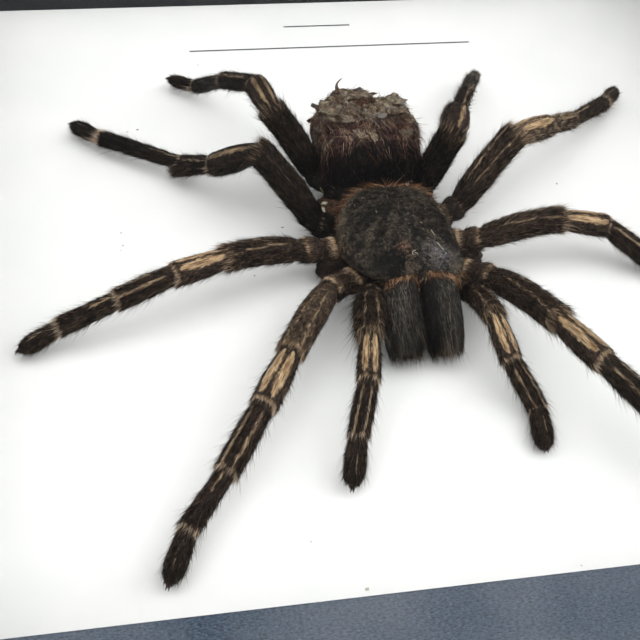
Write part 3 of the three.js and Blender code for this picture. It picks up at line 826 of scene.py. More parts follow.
def sweep_limb(name, material, path):
    """The skin of a limb, swept along the softened centre line of its path."""
    centres, radii, places = limb_rings(name, path)
    ahead = directions(np.gradient(centres, axis=0))
    reach = path[-1][2] - path[min(2, len(path) - 1)][1]
    across = np.array([-reach[1], reach[0], 0]) / np.hypot(reach[0], reach[1])
    back = directions(np.cross(ahead, across))
    turn = np.linspace(0, 2 * np.pi, LIMB_SIDES, endpoint=False)
    outward = ring_directions(turn, back, np.cross(back, ahead))
    points = centres[:, None] + radii[:, None, None] * outward
    seed = 17.0 * [*LIMBS, STUB].index(name)
    wander = roughness_at(points, 0.9, seed + 40, 4)
    points = points + outward * (0.1 * roughness_at(points, 0.5, seed, 3))[..., None]
    points[..., 2] += BOARD_TOP
    roll = math.radians(ROLLS.get(name, 0))
    angle = np.degrees((turn - roll + np.pi) % (2 * np.pi) - np.pi)[None, :]
    values = limb_values(name, path, places, angle, wander, outward)
    values["along"] = closed_ends(np.repeat(ahead[:, None], LIMB_SIDES, 1))
    steps = np.linalg.norm(np.diff(centres, axis=0), axis=1)
    travelled = np.concatenate([[0], np.cumsum(steps)])[:, None]
    girth = np.minimum(turn, 2 * np.pi - turn)[None, :] * np.mean(radii)
    flow = closed_ends(np.stack([girth + 0 * travelled, travelled + 0 * girth], -1))
    faces = grid_faces(len(centres), LIMB_SIDES)
    return new_piece(name + "_skin", closed_ends(points), faces, material, values, flow)


def claw_horn():
    # Polished horn: black brown, redder where it is thin, glossy.
    if "claw_horn" in bpy.data.materials:
        return bpy.data.materials["claw_horn"]
    finish = Finish("claw_horn", Roughness=0.22)
    return finish.done(finish.mix(finish.ramp(finish.grain(every(1.5)), 0.35, 0.75), "120B08", "3A1C10"))


def claw_pair(tarsus):
    """Two small hooks at the end of a tarsus, as points and faces."""
    _, start, end, _ = tarsus
    ahead = directions(end - start)
    flank = np.cross(ahead, (0, 0, 1))
    hooks = []
    for side in (-1, 1):
        root = end - 0.7 * ahead + 0.22 * side * flank + (0, 0, BOARD_TOP + 0.15)
        middle = root + 0.8 * ahead + (0, 0, 0.2)
        point = root + 1.25 * ahead + 0.12 * side * flank + (0, 0, -0.25)
        hooks.append(taper((root, middle, point), (0.2, 0.15, 0.04), 8))
    return merged(hooks)


def build_limbs(animal):
    """Every leg and palp: its skin, its short coat and its long bristles."""
    skin_finish = skin_material("dried_leg_cuticle", animal.skin, animal.brown, animal)
    hair = {"finish": coat_material("dry_leg_hair", animal.dark, animal.brown, animal)}
    short = {"density": animal.coat_density, "width": animal.hair_width, **hair}
    long = {"length": animal.bristle_length, "width": 0.7 * animal.hair_width, **hair}
    claws = []
    for number, name in enumerate(LIMBS):
        path = limb_path(name)
        skin = sweep_limb(name, skin_finish, path)
        place_piece(skin, "dark_hair", name)
        claws.append(claw_pair(path[-1]))
        seed = number * 7
        length = animal.coat_length
        grow_hair(skin, name + "_coat", "dark_hair", length=length, seed=seed, **LIMB_COAT, **short)
        grow_hair(skin, name + "_bristles", "dark_hair", seed=seed, **LIMB_BRISTLES, **long)
    place_piece(new_piece("claws", *merged(claws), claw_horn()), "dark_hair")

    # One tibia is broken off short, and its frayed end stands beside the next segment.
    _, start, end, radius = limb_path("leg_right_3")[SEGMENTS.index("tibia")]
    onward = directions(end - start)
    tear = end + 3.4 * onward + (0, 1.6, -0.4)
    stub = sweep_limb(STUB, skin_finish, [("tibia", start + 2.5 * onward, tear, 0.92 * radius)])
    place_piece(stub, "dark_hair")
    grow_hair(stub, STUB + "_coat", "dark_hair", **STUB_COAT, **short)


# ---- Body -------------------------------------------------------------------------------
# The shield's edge seen from above, from the front middle round by the right side, in mm.
SHIELD_EDGE = (
    (0.1, 17), (2.2, 16.9), (4.4, 17.4), (6.6, 17.9), (9, 17.1), (11.2, 14.8), (12.6, 11.4),
    (13.5, 7.4), (13.5, 3.2), (12.8, -1), (11.6, -4.6), (9.9, -7.4), (7.6, -9.4), (4.8, -10.4),
    (1.6, -10.5), (-1.8, -10.3), (-4.8, -9.7), (-7.2, -7.8), (-8.8, -5), (-9.7, -1.2),
    (-10.2, 3.4), (-10.1, 8.8), (-9.3, 13.6), (-7.6, 17.3), (-5.6, 17.3), (-3.6, 16.7),
    (-1.6, 16.7),
)
SHIELD = {
    "middle": (1.2, 3.4), "rim": 9.9, "front_rim": 13.0, "top": 15.0, "head": 1.5,
    "rings": 70, "sides": 220,
}
# The rings under the shield's edge: share of the way out, and drop below the rim.
UNDER_RINGS = ((1.012, -0.35), (1.0, -0.8), (0.93, -1.0), (0.8, -1.1), (0.5, -1.1), (0.25, -1.1))
EDGE_RINGS = 22  # how many of the shield's rings carry rim hair
FOVEA = (0.6, -3.6)  # the pit from which the shield's grooves run out
EYES = {"x": -0.3, "y": 15.3, "rise": 1.1}
# Each eye: place on the hill and radius. The front middle pair is the largest.
EYE_SPOTS = (
    (0.45, 0.75, 0.34), (-0.45, 0.75, 0.34), (1.25, 0.5, 0.26), (-1.25, 0.5, 0.26),
    (1.0, -0.3, 0.24), (-1.0, -0.3, 0.24), (1.5, -0.25, 0.2), (-1.5, -0.25, 0.2),
)
# Parts of the body wall that show between the coxae: middle, half sizes and gloom, a painted shade that
# darkens the wall and its hair between the coxae.
FLANKS = {
    "body_flank": ((11.8, -10.2, 4.6), (4.0, 4.2, 3.4), 0.45),
    "body_side_right": ((13.4, 4.9, 4.2), (4.2, 3.2, 3.2), 0.9),
    "body_side_left": ((-13.4, 5.0, 4.2), (3.4, 3.0, 3.2), 0.85),
}
FLANK_MARKS = {
    "margin": 0, "blush": 0.6, "granular": 0, "gloom": 0, "pale": 0.05, "warm": 0.6, "pile": 0.5,
    "cover": 0.35,
}
# Faded curled scales on the shield: points along each.
SCALES = (
    ((0.5, 12.9), (1.3, 13.2), (1.4, 13.9), (0.8, 14.2)), ((0.9, 13.5), (0.4, 13.9), (0.5, 14.4)),
    ((-3.8, 7.6), (-4.0, 8.6), (-4.1, 9.5)), ((-4.0, 11.4), (-4.3, 12), (-4.5, 12.6)),
    ((-4.5, 12.7), (-4.9, 13.1), (-4.9, 13.6)), ((9.2, -2.9), (9.3, -2.4)),
    ((5.8, 0.9), (5.7, 1.4)), ((-2.2, 5.2), (-2.5, 5.6)), ((5.0, 10.4), (5.4, 10.7)),
)
# The jaws: half sizes, tilt in degrees, half distance, middle and sideways slant.
JAW = {
    "half": (3.6, 8.3, 3.8), "tilt": -19, "apart": 3.97, "place": (0.4, 21.9, 7.4), "slant": 0.07,
}
# The rear body before it is crumpled: middle and half sizes.
ABDOMEN = {"middle": (3.0, -23.9, 11.4), "half": (10.9, 11.8, 7.0), "rings": 140, "sides": 190}
# How the body's hair grows; see HAIR_INPUTS.
COATS = {
    "nap": {
        "density": 11, "length": 0.6, "width": 0.12, "lift": 0.25, "mess": 0.4, "clump": 0.35,
        "clump_size": 1.1, "seed": 101,
    },
    "fringe": {
        "density": 15, "length": 2.3, "width": 0.12, "lift": 0.25, "mess": 0.42, "clump": 0.5,
        "clump_size": 1.3, "bend": 0.3, "joints": 3, "seed": 111,
    },
    "flank": {"density": 14, "length": 2.0, "width": 0.1, "mess": 0.5},
    "jaw": {
        "density": 34, "length": 2.6, "width": 0.075, "lift": 0.08, "mess": 0.045, "clump": 0.05,
        "clump_size": 2.4, "bend": 0.1,
    },
    "jaw_fringe": {
        "density": 3.2, "length": 4.6, "width": 0.09, "lift": 0.16, "mess": 0.12, "clump": 0.15,
        "clump_size": 2.5, "bend": 0.2, "joints": 4,
    },
    "rear": {
        "density": 13, "length": 1.5, "width": 0.09, "lift": 0.15, "mess": 0.35, "clump": 0.3,
        "clump_size": 1.5, "seed": 141,
    },
    "rear_strands": {
        "density": 5.0, "length": 4.0, "width": 0.11, "lift": 0.12, "mess": 0.14, "clump": 0.3,
        "clump_size": 2.4, "bend": 0.2, "joints": 3, "seed": 151,
    },
    "rear_threads": {
        "density": 3.2, "length": 3.6, "width": 0.09, "lift": 0.1, "mess": 1.1, "clump": 0.2,
        "bend": 0.1, "joints": 3, "seed": 161,
    },
}


def closed_curve(corners, count):
    """Points on a smooth closed curve through the corners."""
    corners = np.array(corners, float)
    n = len(corners)
    t = np.linspace(0, n, count, endpoint=False)
    i, f = t.astype(int), (t % 1)[:, None]
    a, b, c, d = (corners[(i + k) % n] for k in (-1, 0, 1, 2))
    square, cube = (2 * a - 5 * b + 4 * c - d) * f**2, (3 * b - a - 3 * c + d) * f**3
    return 0.5 * (2 * b + (c - a) * f + square + cube)


def shape_shield():
    """The shield's rings of points, with their share of the way out, drop and turn round the pit."""
    rings, middle = SHIELD["rings"], np.array(SHIELD["middle"])
    edge = closed_curve(SHIELD_EDGE, SHIELD["sides"])[::-1]
    over = np.sin(np.linspace(0.02, np.pi / 2, rings))
    shares = np.concatenate([over, [ring[0] for ring in UNDER_RINGS]])
    flat = middle + shares[:, None, None] * (edge - middle)[None]
    inner = np.clip(shares, 0, 1)[:, None]
    x, y = flat[..., 0], flat[..., 1]
    rim = SHIELD["rim"] + (SHIELD["front_rim"] - SHIELD["rim"]) * smooth_step(y, 6, 16)
    top = SHIELD["top"] + SHIELD["head"] * spot(x, y, (-0.4, 12.8), (6.5, 5.6))
    dome = (top - rim) * np.clip(1 - inner**2.8, 0, 1) ** 0.6
    dome -= 0.75 * spot(x, y, FOVEA, (1.7, 1.1))
    turn = np.arctan2(x - FOVEA[0], y - FOVEA[1])
    spokes = np.clip(np.cos(4 * turn), 0, 1) ** 10
    spokes = spokes * smooth_step(inner, 0.12, 0.3) * (1 - smooth_step(inner, 0.7, 0.92))
    dome -= 0.32 * spokes
    dome += EYES["rise"] * spot(x, y, (EYES["x"], EYES["y"]), (1.9, 1.25))
    drop = np.array([0.0] * rings + [ring[1] for ring in UNDER_RINGS])[:, None]
    face = 1 + 4 * smooth_step(y, 9, 14) * band(x, -0.5, 5, 3)
    z = rim + dome * (drop == 0) + drop * face + BOARD_TOP
    points = np.concatenate([flat, z[..., None]], -1)
    points[..., 2] += 0.2 * roughness_at(points, 0.8, 3.0, 4) * (drop == 0)
    return points, inner, drop, turn


def shield_values(points, inner, drop, turn):
    """The shield's marks and its hair's lie, one value for each point."""
    x, y = points[..., 0], points[..., 1]
    margin = smooth_step(inner, 0.78, 0.95) + 0 * x
    behind = smooth_step(-y, -8, 2)
    rubbed = spot(x, y, (7.4, 15.2), (4.4, 3.8)) + 0.22 * roughness_at(points, 0.7, 29.0, 4)
    bald = smooth_step(rubbed, 0.15, 1.0)
    blush = spot(x, y, (2.9, 12.4), (1.6, 2.0))
    radial = ramp_noise(np.stack([6 * np.cos(turn), 6 * np.sin(turn), 2 * inner + 0 * turn], -1), 17.0)
    blotch = smooth_step(roughness_at(points, 1.5, 13.0, 5) + 0.8 * (radial - 0.5), -0.42, 0.3)
    centre = points[..., :2] - SHIELD["middle"]
    outward = centre / np.maximum(np.linalg.norm(centre, axis=-1)[..., None], 1e-6)
    along = np.concatenate([outward * 0.5, 0 * points[..., 2:]], -1)
    along[..., 1] += 0.6
    marks = {
        "margin": margin * (0.35 + 0.65 * behind),
        "granular": spot(x, y, (-3.8, 13.8), (2.7, 2.4)),
        # Gloom: mottled blotches, the bald rubbed patch, and painted shade under the shield's rim.
        "gloom": np.clip(0.92 * blotch * (1 - 0.6 * margin * behind) + 0.9 * bald + (drop < -0.4), 0, 1),
        "blush": blush,
        "pale": 0.3 * blush,
        "warm": 0.5 * blush,
        "pile": 0.8 + 0 * x,
        "cover": (1 - 0.9 * bald) * (drop == 0) * (1 - 0.4 * margin),
        "along": along,
    }
    return {key: closed_ends(mark) for key, mark in marks.items()}


def dusty_chitin(animal):
    # Dusty chitin: olive black, softly mottled, with a paler margin and a gritty patch by the eyes.
    finish = Finish("dusty_chitin", **{"Roughness": 0.55, "Specular IOR Level": 0.15})
    mottle = finish.ramp(finish.grain(every(1.1), 7.0, 0.8), 0.43, 0.6)
    specks = finish.ramp(finish.grain(every(0.28), 2.0), 0.62, 0.74)
    base = finish.mix(mottle, "14120F", animal.shell)
    pale = finish.mix(mottle, animal.shell, animal.shell_pale)
    base = finish.mix(finish.attribute("margin"), base, pale)
    base = finish.mix(finish.attribute("blush"), base, finish.mix(mottle, "33231A", "7E5A48"))
    base = finish.mix(finish.maths("MULTIPLY", specks, 0.6), base, "A09A8C")
    # Gloom darkens the shell: mottled blotches, the bald patch, and painted shade under the rim and on
    # the walls between the coxae.
    base = finish.mix(finish.attribute("gloom"), base, "0A0908")
    grit = finish.ramp(finish.grain(every(0.5), 4.0, 0.8), 0.42, 0.66)
    factor = finish.maths("MULTIPLY", finish.attribute("granular"), other=grit)
    return finish.done(finish.mix(factor, base, "858286"), mottle, 0.6, 0.25)


def grow_rim_hair(points, material, rust):
    """Rim hair and the comb over the jaws, from a narrow band that follows the shield's edge."""
    rings, sides, middle = SHIELD["rings"], SHIELD["sides"], np.array(SHIELD["middle"])
    ring = points[rings - EDGE_RINGS : rings + 2]
    strip = np.concatenate([ring[:, :, :2], ring[:, :, 2:] + 0.02], -1)
    heading = np.degrees(np.arctan2(strip[..., 0] - middle[0], strip[..., 1] - middle[1]))
    outermost = (np.arange(len(strip)) > EDGE_RINGS - 4)[:, None]
    front = band(heading, -6, 28, 8) * outermost
    rear = smooth_step(np.abs(heading), 125, 150)
    right = (band(heading, 122, 12, 9) + 0.6 * band(heading, 76, 6, 6)) * (0.2 + 0.8 * outermost)
    tufts = band(heading, 11, 6.5, 4) + band(heading, -20, 6.5, 3) + 0.03
    tangent = directions(np.roll(strip, -1, 1) - np.roll(strip, 1, 1))
    out = directions(strip[..., :2] - middle)
    out = np.concatenate([out, (0.7 - 1.15 * front)[..., None]], -1)
    sweep = (0.5 * (1 - front) + 0.9 * rear)[..., None]
    values = {
        "pale": 0.24 * front + 0.08 * rear,
        "warm": 0.45 + 0.3 * front,
        "pile": 0.5 + 0.45 * front + 0.75 * rear,
        "cover": np.clip(0.06 * outermost + 1.5 * front * tufts + 0.34 * rear + 0.4 * right, 0, 1.6),
        "along": (1 - 0.4 * rear)[..., None] * out + sweep * tangent * np.sign(heading)[..., None],
    }
    faces = grid_faces(len(strip), sides)[: (len(strip) - 1) * sides]
    roots = new_piece("rim_roots", strip, faces, material, values)
    grow_hair(roots, "carapace_fringe", "rust_hair", finish=rust, **COATS["fringe"])
    bpy.data.objects.remove(roots)


def build_flanks(material, rust):
    """The shrunken body wall that stands out between the coxae."""
    unit = ball_rings(26, 34)
    lump = unit * (1 + 0.16 * roughness_at(unit, 1.9, 3.0, 4))[..., None]
    for seed, (name, (middle, half, gloom)) in enumerate(FLANKS.items(), 117):
        points = closed_ends(lump * half) + middle + (0, 0, BOARD_TOP)
        # The gloom is painted shade between the coxae, on each wall and its hair.
        shares = FLANK_MARKS | {"gloom": gloom}
        values = {key: np.full(len(points), share) for key, share in shares.items()}
        values["along"] = np.tile((0.6, 0.5, 0.2), (len(points), 1))
        flank = new_piece(name, points, grid_faces(26, 34), material, values)
        place_piece(flank, "olive_shell")
        grow_hair(flank, name + "_coat", "rust_hair", finish=rust, seed=seed, **COATS["flank"])


def build_eyes(surface):
    """Eight glassy eyes on the hill."""
    # Eye lenses: black brown, clear and glossy.
    finish = Finish("eye_lens", Roughness=0.12)
    depth = finish.mix(finish.ramp(finish.grain(every(0.4)), 0.3, 0.7), "0B0908", "2A2220")
    unit, faces = ball_rings(8, 14), grid_faces(8, 14)
    parts = []
    for dx, dy, radius in EYE_SPOTS:
        x, y = EYES["x"] + dx, EYES["y"] + dy
        parts.append((closed_ends(unit * radius) + (x, y, height_at(surface, x, y) + 0.1), faces))
    place_piece(new_piece("eyes", *merged(parts), finish.done(depth)), "olive_shell")


def build_scales(surface):
    """Faded curled scales lying on the shield."""
    # Faded scales: dull khaki grey.
    finish = Finish("faded_scales", Roughness=0.7)
    curls = []
    for path in SCALES:
        corners = [(x, y, height_at(surface, x, y) + 0.18) for x, y in path]
        curls.append(taper(corners, [0.05] + [0.055] * (len(path) - 2) + [0.02]))
    material = finish.done(finish.mix(finish.grain(every(0.8)), "7C7A66", "C9C8B4"))
    place_piece(new_piece("shield_scales", *merged(curls), material), "olive_shell")


def build_carapace(animal):
    """The shield over the front body, with its nap, rim hair, comb, eyes and scales."""
    points, inner, drop, turn = shape_shield()
    material = dusty_chitin(animal)
    values = shield_values(points, inner, drop, turn)
    faces = grid_faces(len(points), SHIELD["sides"])
    shield = new_piece("carapace_shield", closed_ends(points), faces, material, values)
    place_piece(shield, "olive_shell", "carapace")
    nap = coat_material("dusty_shield_nap", "0A0706", "74664F", animal, 0.6, "A39782")
    grow_hair(shield, "carapace_nap", "olive_shell", finish=nap, **COATS["nap"])
    rust = coat_material("rust_rim_hair", "38221A", animal.rust, animal, 0.5, "B8906E")
    grow_rim_hair(points, material, rust)
    build_flanks(material, rust)
    surface = points.reshape(-1, 3)
    build_eyes(surface)
    build_scales(surface)


def shape_jaw(unit, side):
    """A jaw's points from a ball's: blunt and squarish, thinner towards its tip, tilted and in place."""
    x, y, z = unit[..., 0], unit[..., 1], unit[..., 2]
    half_width, half_length, half_height = JAW["half"]
    tilt = math.radians(JAW["tilt"])
    girth = np.clip(1 - np.abs(y) ** 3.8, 0, 1) ** 0.48 / np.maximum(np.sqrt(1 - y**2), 1e-6)
    cross = (np.abs(x) ** 2.7 + np.abs(z) ** 2.7) / np.maximum(1 - y**2, 1e-6) ** 1.35
    square = np.maximum(cross, 1e-6) ** (-1 / 2.7)
    sections = [x * girth * square * half_width, y * half_length, z * girth * square * half_height]
    shape = np.stack(sections, -1)
    shape[..., 2] -= 0.9 * smooth_step(y, 0.1, 1) * (z > 0) * np.abs(z)
    shape[..., 0] -= side * 0.25 * smooth_step(-side * x, 0.2, 0.9)
    turned = shape.copy()
    turned[..., 1] = shape[..., 1] * math.cos(tilt) - shape[..., 2] * math.sin(tilt)
    turned[..., 2] = shape[..., 1] * math.sin(tilt) + shape[..., 2] * math.cos(tilt)
    offset, ahead, up = JAW["place"]
    points = turned + (side * JAW["apart"] + offset, ahead, up + BOARD_TOP)
    points[..., 0] += JAW["slant"] * turned[..., 1]
    swelling = 0.012 * roughness_at(points, 0.6, 5.0 + side)
    return points + (points - points.mean((0, 1))) * swelling[..., None]


def set_cover(skin, values):
    """Replaces the share of hair density on a skin."""
    cover = skin.data.attributes["cover"].data
    cover.foreach_set("value", closed_ends(values).astype(np.float32).reshape(-1))


def build_chelicerae(animal):
    """The two jaws with their grey hair and long pale fringe, and the folded fangs under them."""
    skin_finish = skin_material("dried_jaw_cuticle", "0E0C0B", "1E1B19", animal)
    coat = coat_material("grey_jaw_hair", "0F0D0C", animal.jaw, animal, 0.5, "8E877F")
    pale = coat_material("pale_jaw_fringe", "5E5246", "B0A492", animal, 0.5, "CFC3B0")
    tilt = math.radians(JAW["tilt"])
    rings, sides = 70, 72
    unit = ball_rings(rings, sides)
    x, y, z = unit[..., 0], unit[..., 1], unit[..., 2]
    low = smooth_step(y, 0.2, 0.75)
    tip = smooth_step(y, 0.8, 0.97)
    hidden = smooth_step(-z, 0.1, 0.6)
    for side, name in ((1, "right"), (-1, "left")):
        points = shape_jaw(unit, side)
        inner = smooth_step(-side * x, 0.35, 0.85)
        streak = ramp_noise(points * (1.6, 0.12, 1.6), 9.0)
        # Painted shade on the jaws' facing inner sides, deeper on the left jaw, and towards their low
        # tips, plus darker streaks of hair.
        painted_shade_and_streaks = (1.0 if side < 0 else 0.45) * smooth_step(-side * x, 0.05, 0.5)
        painted_shade_and_streaks = painted_shade_and_streaks + 0.35 * smooth_step(streak, 0.45, 0.75) + 0.45 * smooth_step(y, 0.3, 0.9)
        marks = {
            "pale": 0.14 * tip,
            "warm": 0.9 * tip,
            "gloom": np.clip(painted_shade_and_streaks, 0, 0.95),
            "pile": (0.75 + 0.35 * low + 0.2 * streak) * (1 - 0.65 * tip),
            "cover": (1 - 0.6 * hidden) * (1 - 0.35 * inner),
            "along": np.zeros_like(points) + (0, math.cos(tilt), math.sin(tilt)),
        }
        values = {key: closed_ends(mark) for key, mark in marks.items()}
        flow = np.stack([np.abs(np.arctan2(x, z)) * JAW["half"][0], y * JAW["half"][1] + 0 * x], -1)
        jaw = f"chelicera_{name}"
        faces = grid_faces(rings, sides)
        points = closed_ends(points)
        skin = new_piece(jaw + "_skin", points, faces, skin_finish, values, closed_ends(flow))
        place_piece(skin, "olive_shell", jaw)
        grow_hair(skin, jaw + "_coat", "olive_shell", finish=coat, seed=120 + side, **COATS["jaw"])
        tuft = smooth_step(-x, 0.25, 0.7) if side > 0 else band(x, -0.05, 0.25, 0.25)
        set_cover(skin, tuft * low * (1 - hidden) + 0.06 * low)
        fringe = COATS["jaw_fringe"]
        grow_hair(skin, jaw + "_fringe", "olive_shell", finish=pale, seed=130 + side, **fringe)
        build_fang(name)


def build_fang(name):
    """A curved black hook lying back under the jaw."""
    count, sides = 26, 18
    t = np.linspace(0, 1, count)
    lo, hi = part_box(f"fang_{name}")
    middle = (lo.x + hi.x) / 2
    start = np.array([middle, hi.y, hi.z - 0.0008]) / MM
    end = np.array([middle, lo.y, lo.z + 0.0004]) / MM
    centre = start + t[:, None] * (end - start)
    centre[:, 2] -= 0.35 * np.sin(np.pi * t)
    radius = 0.82 * (1 - t) ** 0.6 + 0.04
    turn = np.linspace(0, 2 * np.pi, sides, endpoint=False)
    ring = np.stack([np.cos(turn), 0 * turn, np.sin(turn)], -1)
    points = centre[:, None] + radius[:, None, None] * ring[None]
    fang = new_piece(f"fang_{name}_hook", closed_ends(points), grid_faces(count, sides), claw_horn())
    place_piece(fang, "dark_hair", f"fang_{name}")


# Lumps and hollows on the rear body's top: place, radius and rise. The first four are crusted.
CRUST_LUMPS = (
    (3.4, -33.0, 3.6, 0.3), (8.8, -29.4, 2.8, 0.8), (-5.0, -30.6, 2.6, 1.5),
    (7.2, -25.6, 3.0, 0.7), (-1.2, -32.8, 1.9, -2.4), (2.4, -28.2, 2.4, -0.8),
    (-3.8, -25.4, 2.2, 0.9), (0.4, -24.0, 1.8, 0.8), (10.6, -25.0, 2.6, 0.5),
    (-6.4, -26.4, 1.7, 1.0), (5.2, -31.0, 1.5, -0.9), (6.0, -22.4, 1.6, 0.9),
    (9.4, -22.6, 1.6, 0.8), (2.8, -21.8, 1.5, 0.6), (-1.4, -21.0, 1.8, 0.5),
)
CRUSTED_LUMPS = 4
FLAKES = 56
# Large scabs: middle, half length, half width, turn and tilt in degrees, and how crusty each is.
PLATES = (
    (10.4, -26.2, 2.3, 1.7, 25, 12, 0.7), (9.2, -22.0, 2.9, 0.6, -8, -30, 0.6),
    (3.6, -31.2, 4.4, 1.3, 4, 20, 0.6), (-4.4, -28.6, 2.1, 1.6, -20, 10, 0.65),
    (-4.0, -24.2, 2.2, 0.6, 14, -25, 0.6), (2.9, -18.4, 0.8, 2.5, 8, 0, 0.85),
    (-4.6, -19.4, 1.6, 1.9, -6, 8, 0.35), (0.2, -22.6, 1.1, 0.8, 35, 5, 0.6),
    (-1.6, -27.0, 1.2, 2.0, 30, 0, 0.7),
)


def shape_abdomen(unit, above):
    """The rear body's points from a ball's, and the noise values that crumple them."""
    x, y, z = unit[..., 0], unit[..., 1], unit[..., 2]
    flat = np.where(z > 0, np.tanh(2.2 * z) / np.tanh(2.2), z)
    power = 2.7 + 1.1 * smooth_step(y, -0.2, 0.6)
    square = np.hypot(x, y) / (np.abs(x) ** power + np.abs(y) ** power) ** (1 / power)
    half_x, half_y, half_z = ABDOMEN["half"]
    shape = np.stack([x * square * half_x, y * square * half_y, flat * half_z], -1)
    shape *= (1 + 0.05 * np.sin(5 * x + 3 * y) * np.cos(4 * y - 2 * z))[..., None]
    middle_x, middle_y, middle_z = ABDOMEN["middle"]
    points = shape + (middle_x, middle_y, middle_z + BOARD_TOP)
    rear = smooth_step(-points[..., 1], 20, 26)
    for lx, ly, radius, rise in CRUST_LUMPS:
        points[..., 2] += rise * above * hill(points, lx, ly, radius)
    folds = roughness_at(points, 0.34, 2.0, 4)
    ridges = 1 - np.abs(roughness_at(points, 0.5, 8.0, 3)) * 2.2
    fine = roughness_at(points, 1.3, 5.0, 3)
    crumple = 0.75 * folds + 0.6 * np.clip(ridges, 0, 1) ** 3 * above + 0.3 * fine
    crumple = crumple * (0.35 + 0.65 * rear)
    points += unit * (crumple * (0.35 + 0.65 * above))[..., None]
    return points, rear, folds, fine


def dried_hide(animal):
    # Dried hide: brown-black and creased, with flaking olive-grey crust on the high folds.
    finish = Finish("dried_flaking_hide", **{"Roughness": 0.7, "Specular IOR Level": 0.15})
    flakes = finish.ramp(finish.grain(every(0.9), 7.0, 0.8), 0.4, 0.62)
    hide = finish.mix(flakes, "0F0B0A", "42302C")
    crusted = finish.mix(flakes, "685C4A", animal.crust)
    patches = finish.ramp(finish.grain(every(2.6), 3.0), 0.5, 0.7)
    crusted = finish.mix(patches, crusted, "B2ADAA")
    stains = finish.ramp(finish.grain(every(3.4), 2.0), 0.54, 0.66)
    crusted = finish.mix(stains, crusted, "7A6A58", "MULTIPLY")
    base = finish.mix(finish.attribute("crust"), hide, crusted)
    # Gloom darkens the hide: its dark front, and painted shade in its creases.
    base = finish.mix(finish.attribute("gloom"), base, "090706")
    return finish.done(base, flakes, 0.9, 0.5)


def build_abdomen(animal):
    """The shrunken rear body: a crumpled bag, crusty behind and matted with strands in front."""
    rings, sides = ABDOMEN["rings"], ABDOMEN["sides"]
    unit = ball_rings(rings, sides)
    above = smooth_step(unit[..., 2], -0.1, 0.4)
    points, rear, folds, fine = shape_abdomen(unit, above)
    crust = np.clip(rear * above * (0.35 + 1.1 * ramp_noise(points * 0.35, 4.0)), 0, 1)
    for lx, ly, radius, _ in CRUST_LUMPS[:CRUSTED_LUMPS]:
        crust = np.maximum(crust, above * 0.9 * hill(points, lx, ly, radius * 0.9))
    dark = smooth_step(points[..., 1], -18.2, -14.6)
    # Painted shade in the creases: the low points of the crumple are darkened through gloom.
    painted_crease_shade = smooth_step(-0.5 * folds - 0.8 * fine, 0.1, 0.6)
    middle = band(points[..., 1], -18.2, 3.8, 1.6) * above
    streak = smooth_step(ramp_noise(points * (0.8, 0.14, 0.8), 21.0), 0.5, 0.72)
    along = np.zeros_like(points)
    along[..., 0] = 0.4 * np.sin(points[..., 1] * 0.9) * rear
    along[..., 1] = 1.0
    along[..., 2] = -0.35 * smooth_step(unit[..., 1], 0.0, 0.8)
    marks = {
        "crust": crust,
        "gloom": np.clip(dark + 0.6 * painted_crease_shade, 0, 1),
        "pale": 0.4 * streak * middle * (1 - dark),
        "warm": np.clip(1.6 * ramp_noise(points * 0.5, 31.0) - 0.2, 0, 1),
        "pile": 0.8 + 0.4 * (1 - rear),
        "cover": (0.3 + 0.7 * above) * (1 - 0.6 * crust) * (1 - 0.35 * rear),
        "along": along,
    }
    values = {key: closed_ends(mark) for key, mark in marks.items()}
    material = dried_hide(animal)
    faces = grid_faces(rings, sides)
    bag = new_piece("abdomen_hide", closed_ends(points), faces, material, values)
    place_piece(bag, "rust_hair", "abdomen")

    strands = coat_material("matted_rear_hair", "0E0A09", animal.mauve, animal, 0.5, "85655E")
    grow_hair(bag, "abdomen_coat", "rust_hair", finish=strands, **COATS["rear"])
    set_cover(bag, middle + 0.26 * above * rear)
    grow_hair(bag, "abdomen_strands", "rust_hair", finish=strands, **COATS["rear_strands"])
    set_cover(bag, above * rear + 0.3 * middle)
    threads = coat_material("loose_tan_threads", "5A3A2A", "9C7050", animal, 0.5, "C8A488")
    grow_hair(bag, "abdomen_threads", "rust_hair", finish=threads, **COATS["rear_threads"])
    build_flakes(points, unit, (crust * above + 0.12 * middle) * (1 - dark), material)
    build_tail(material)


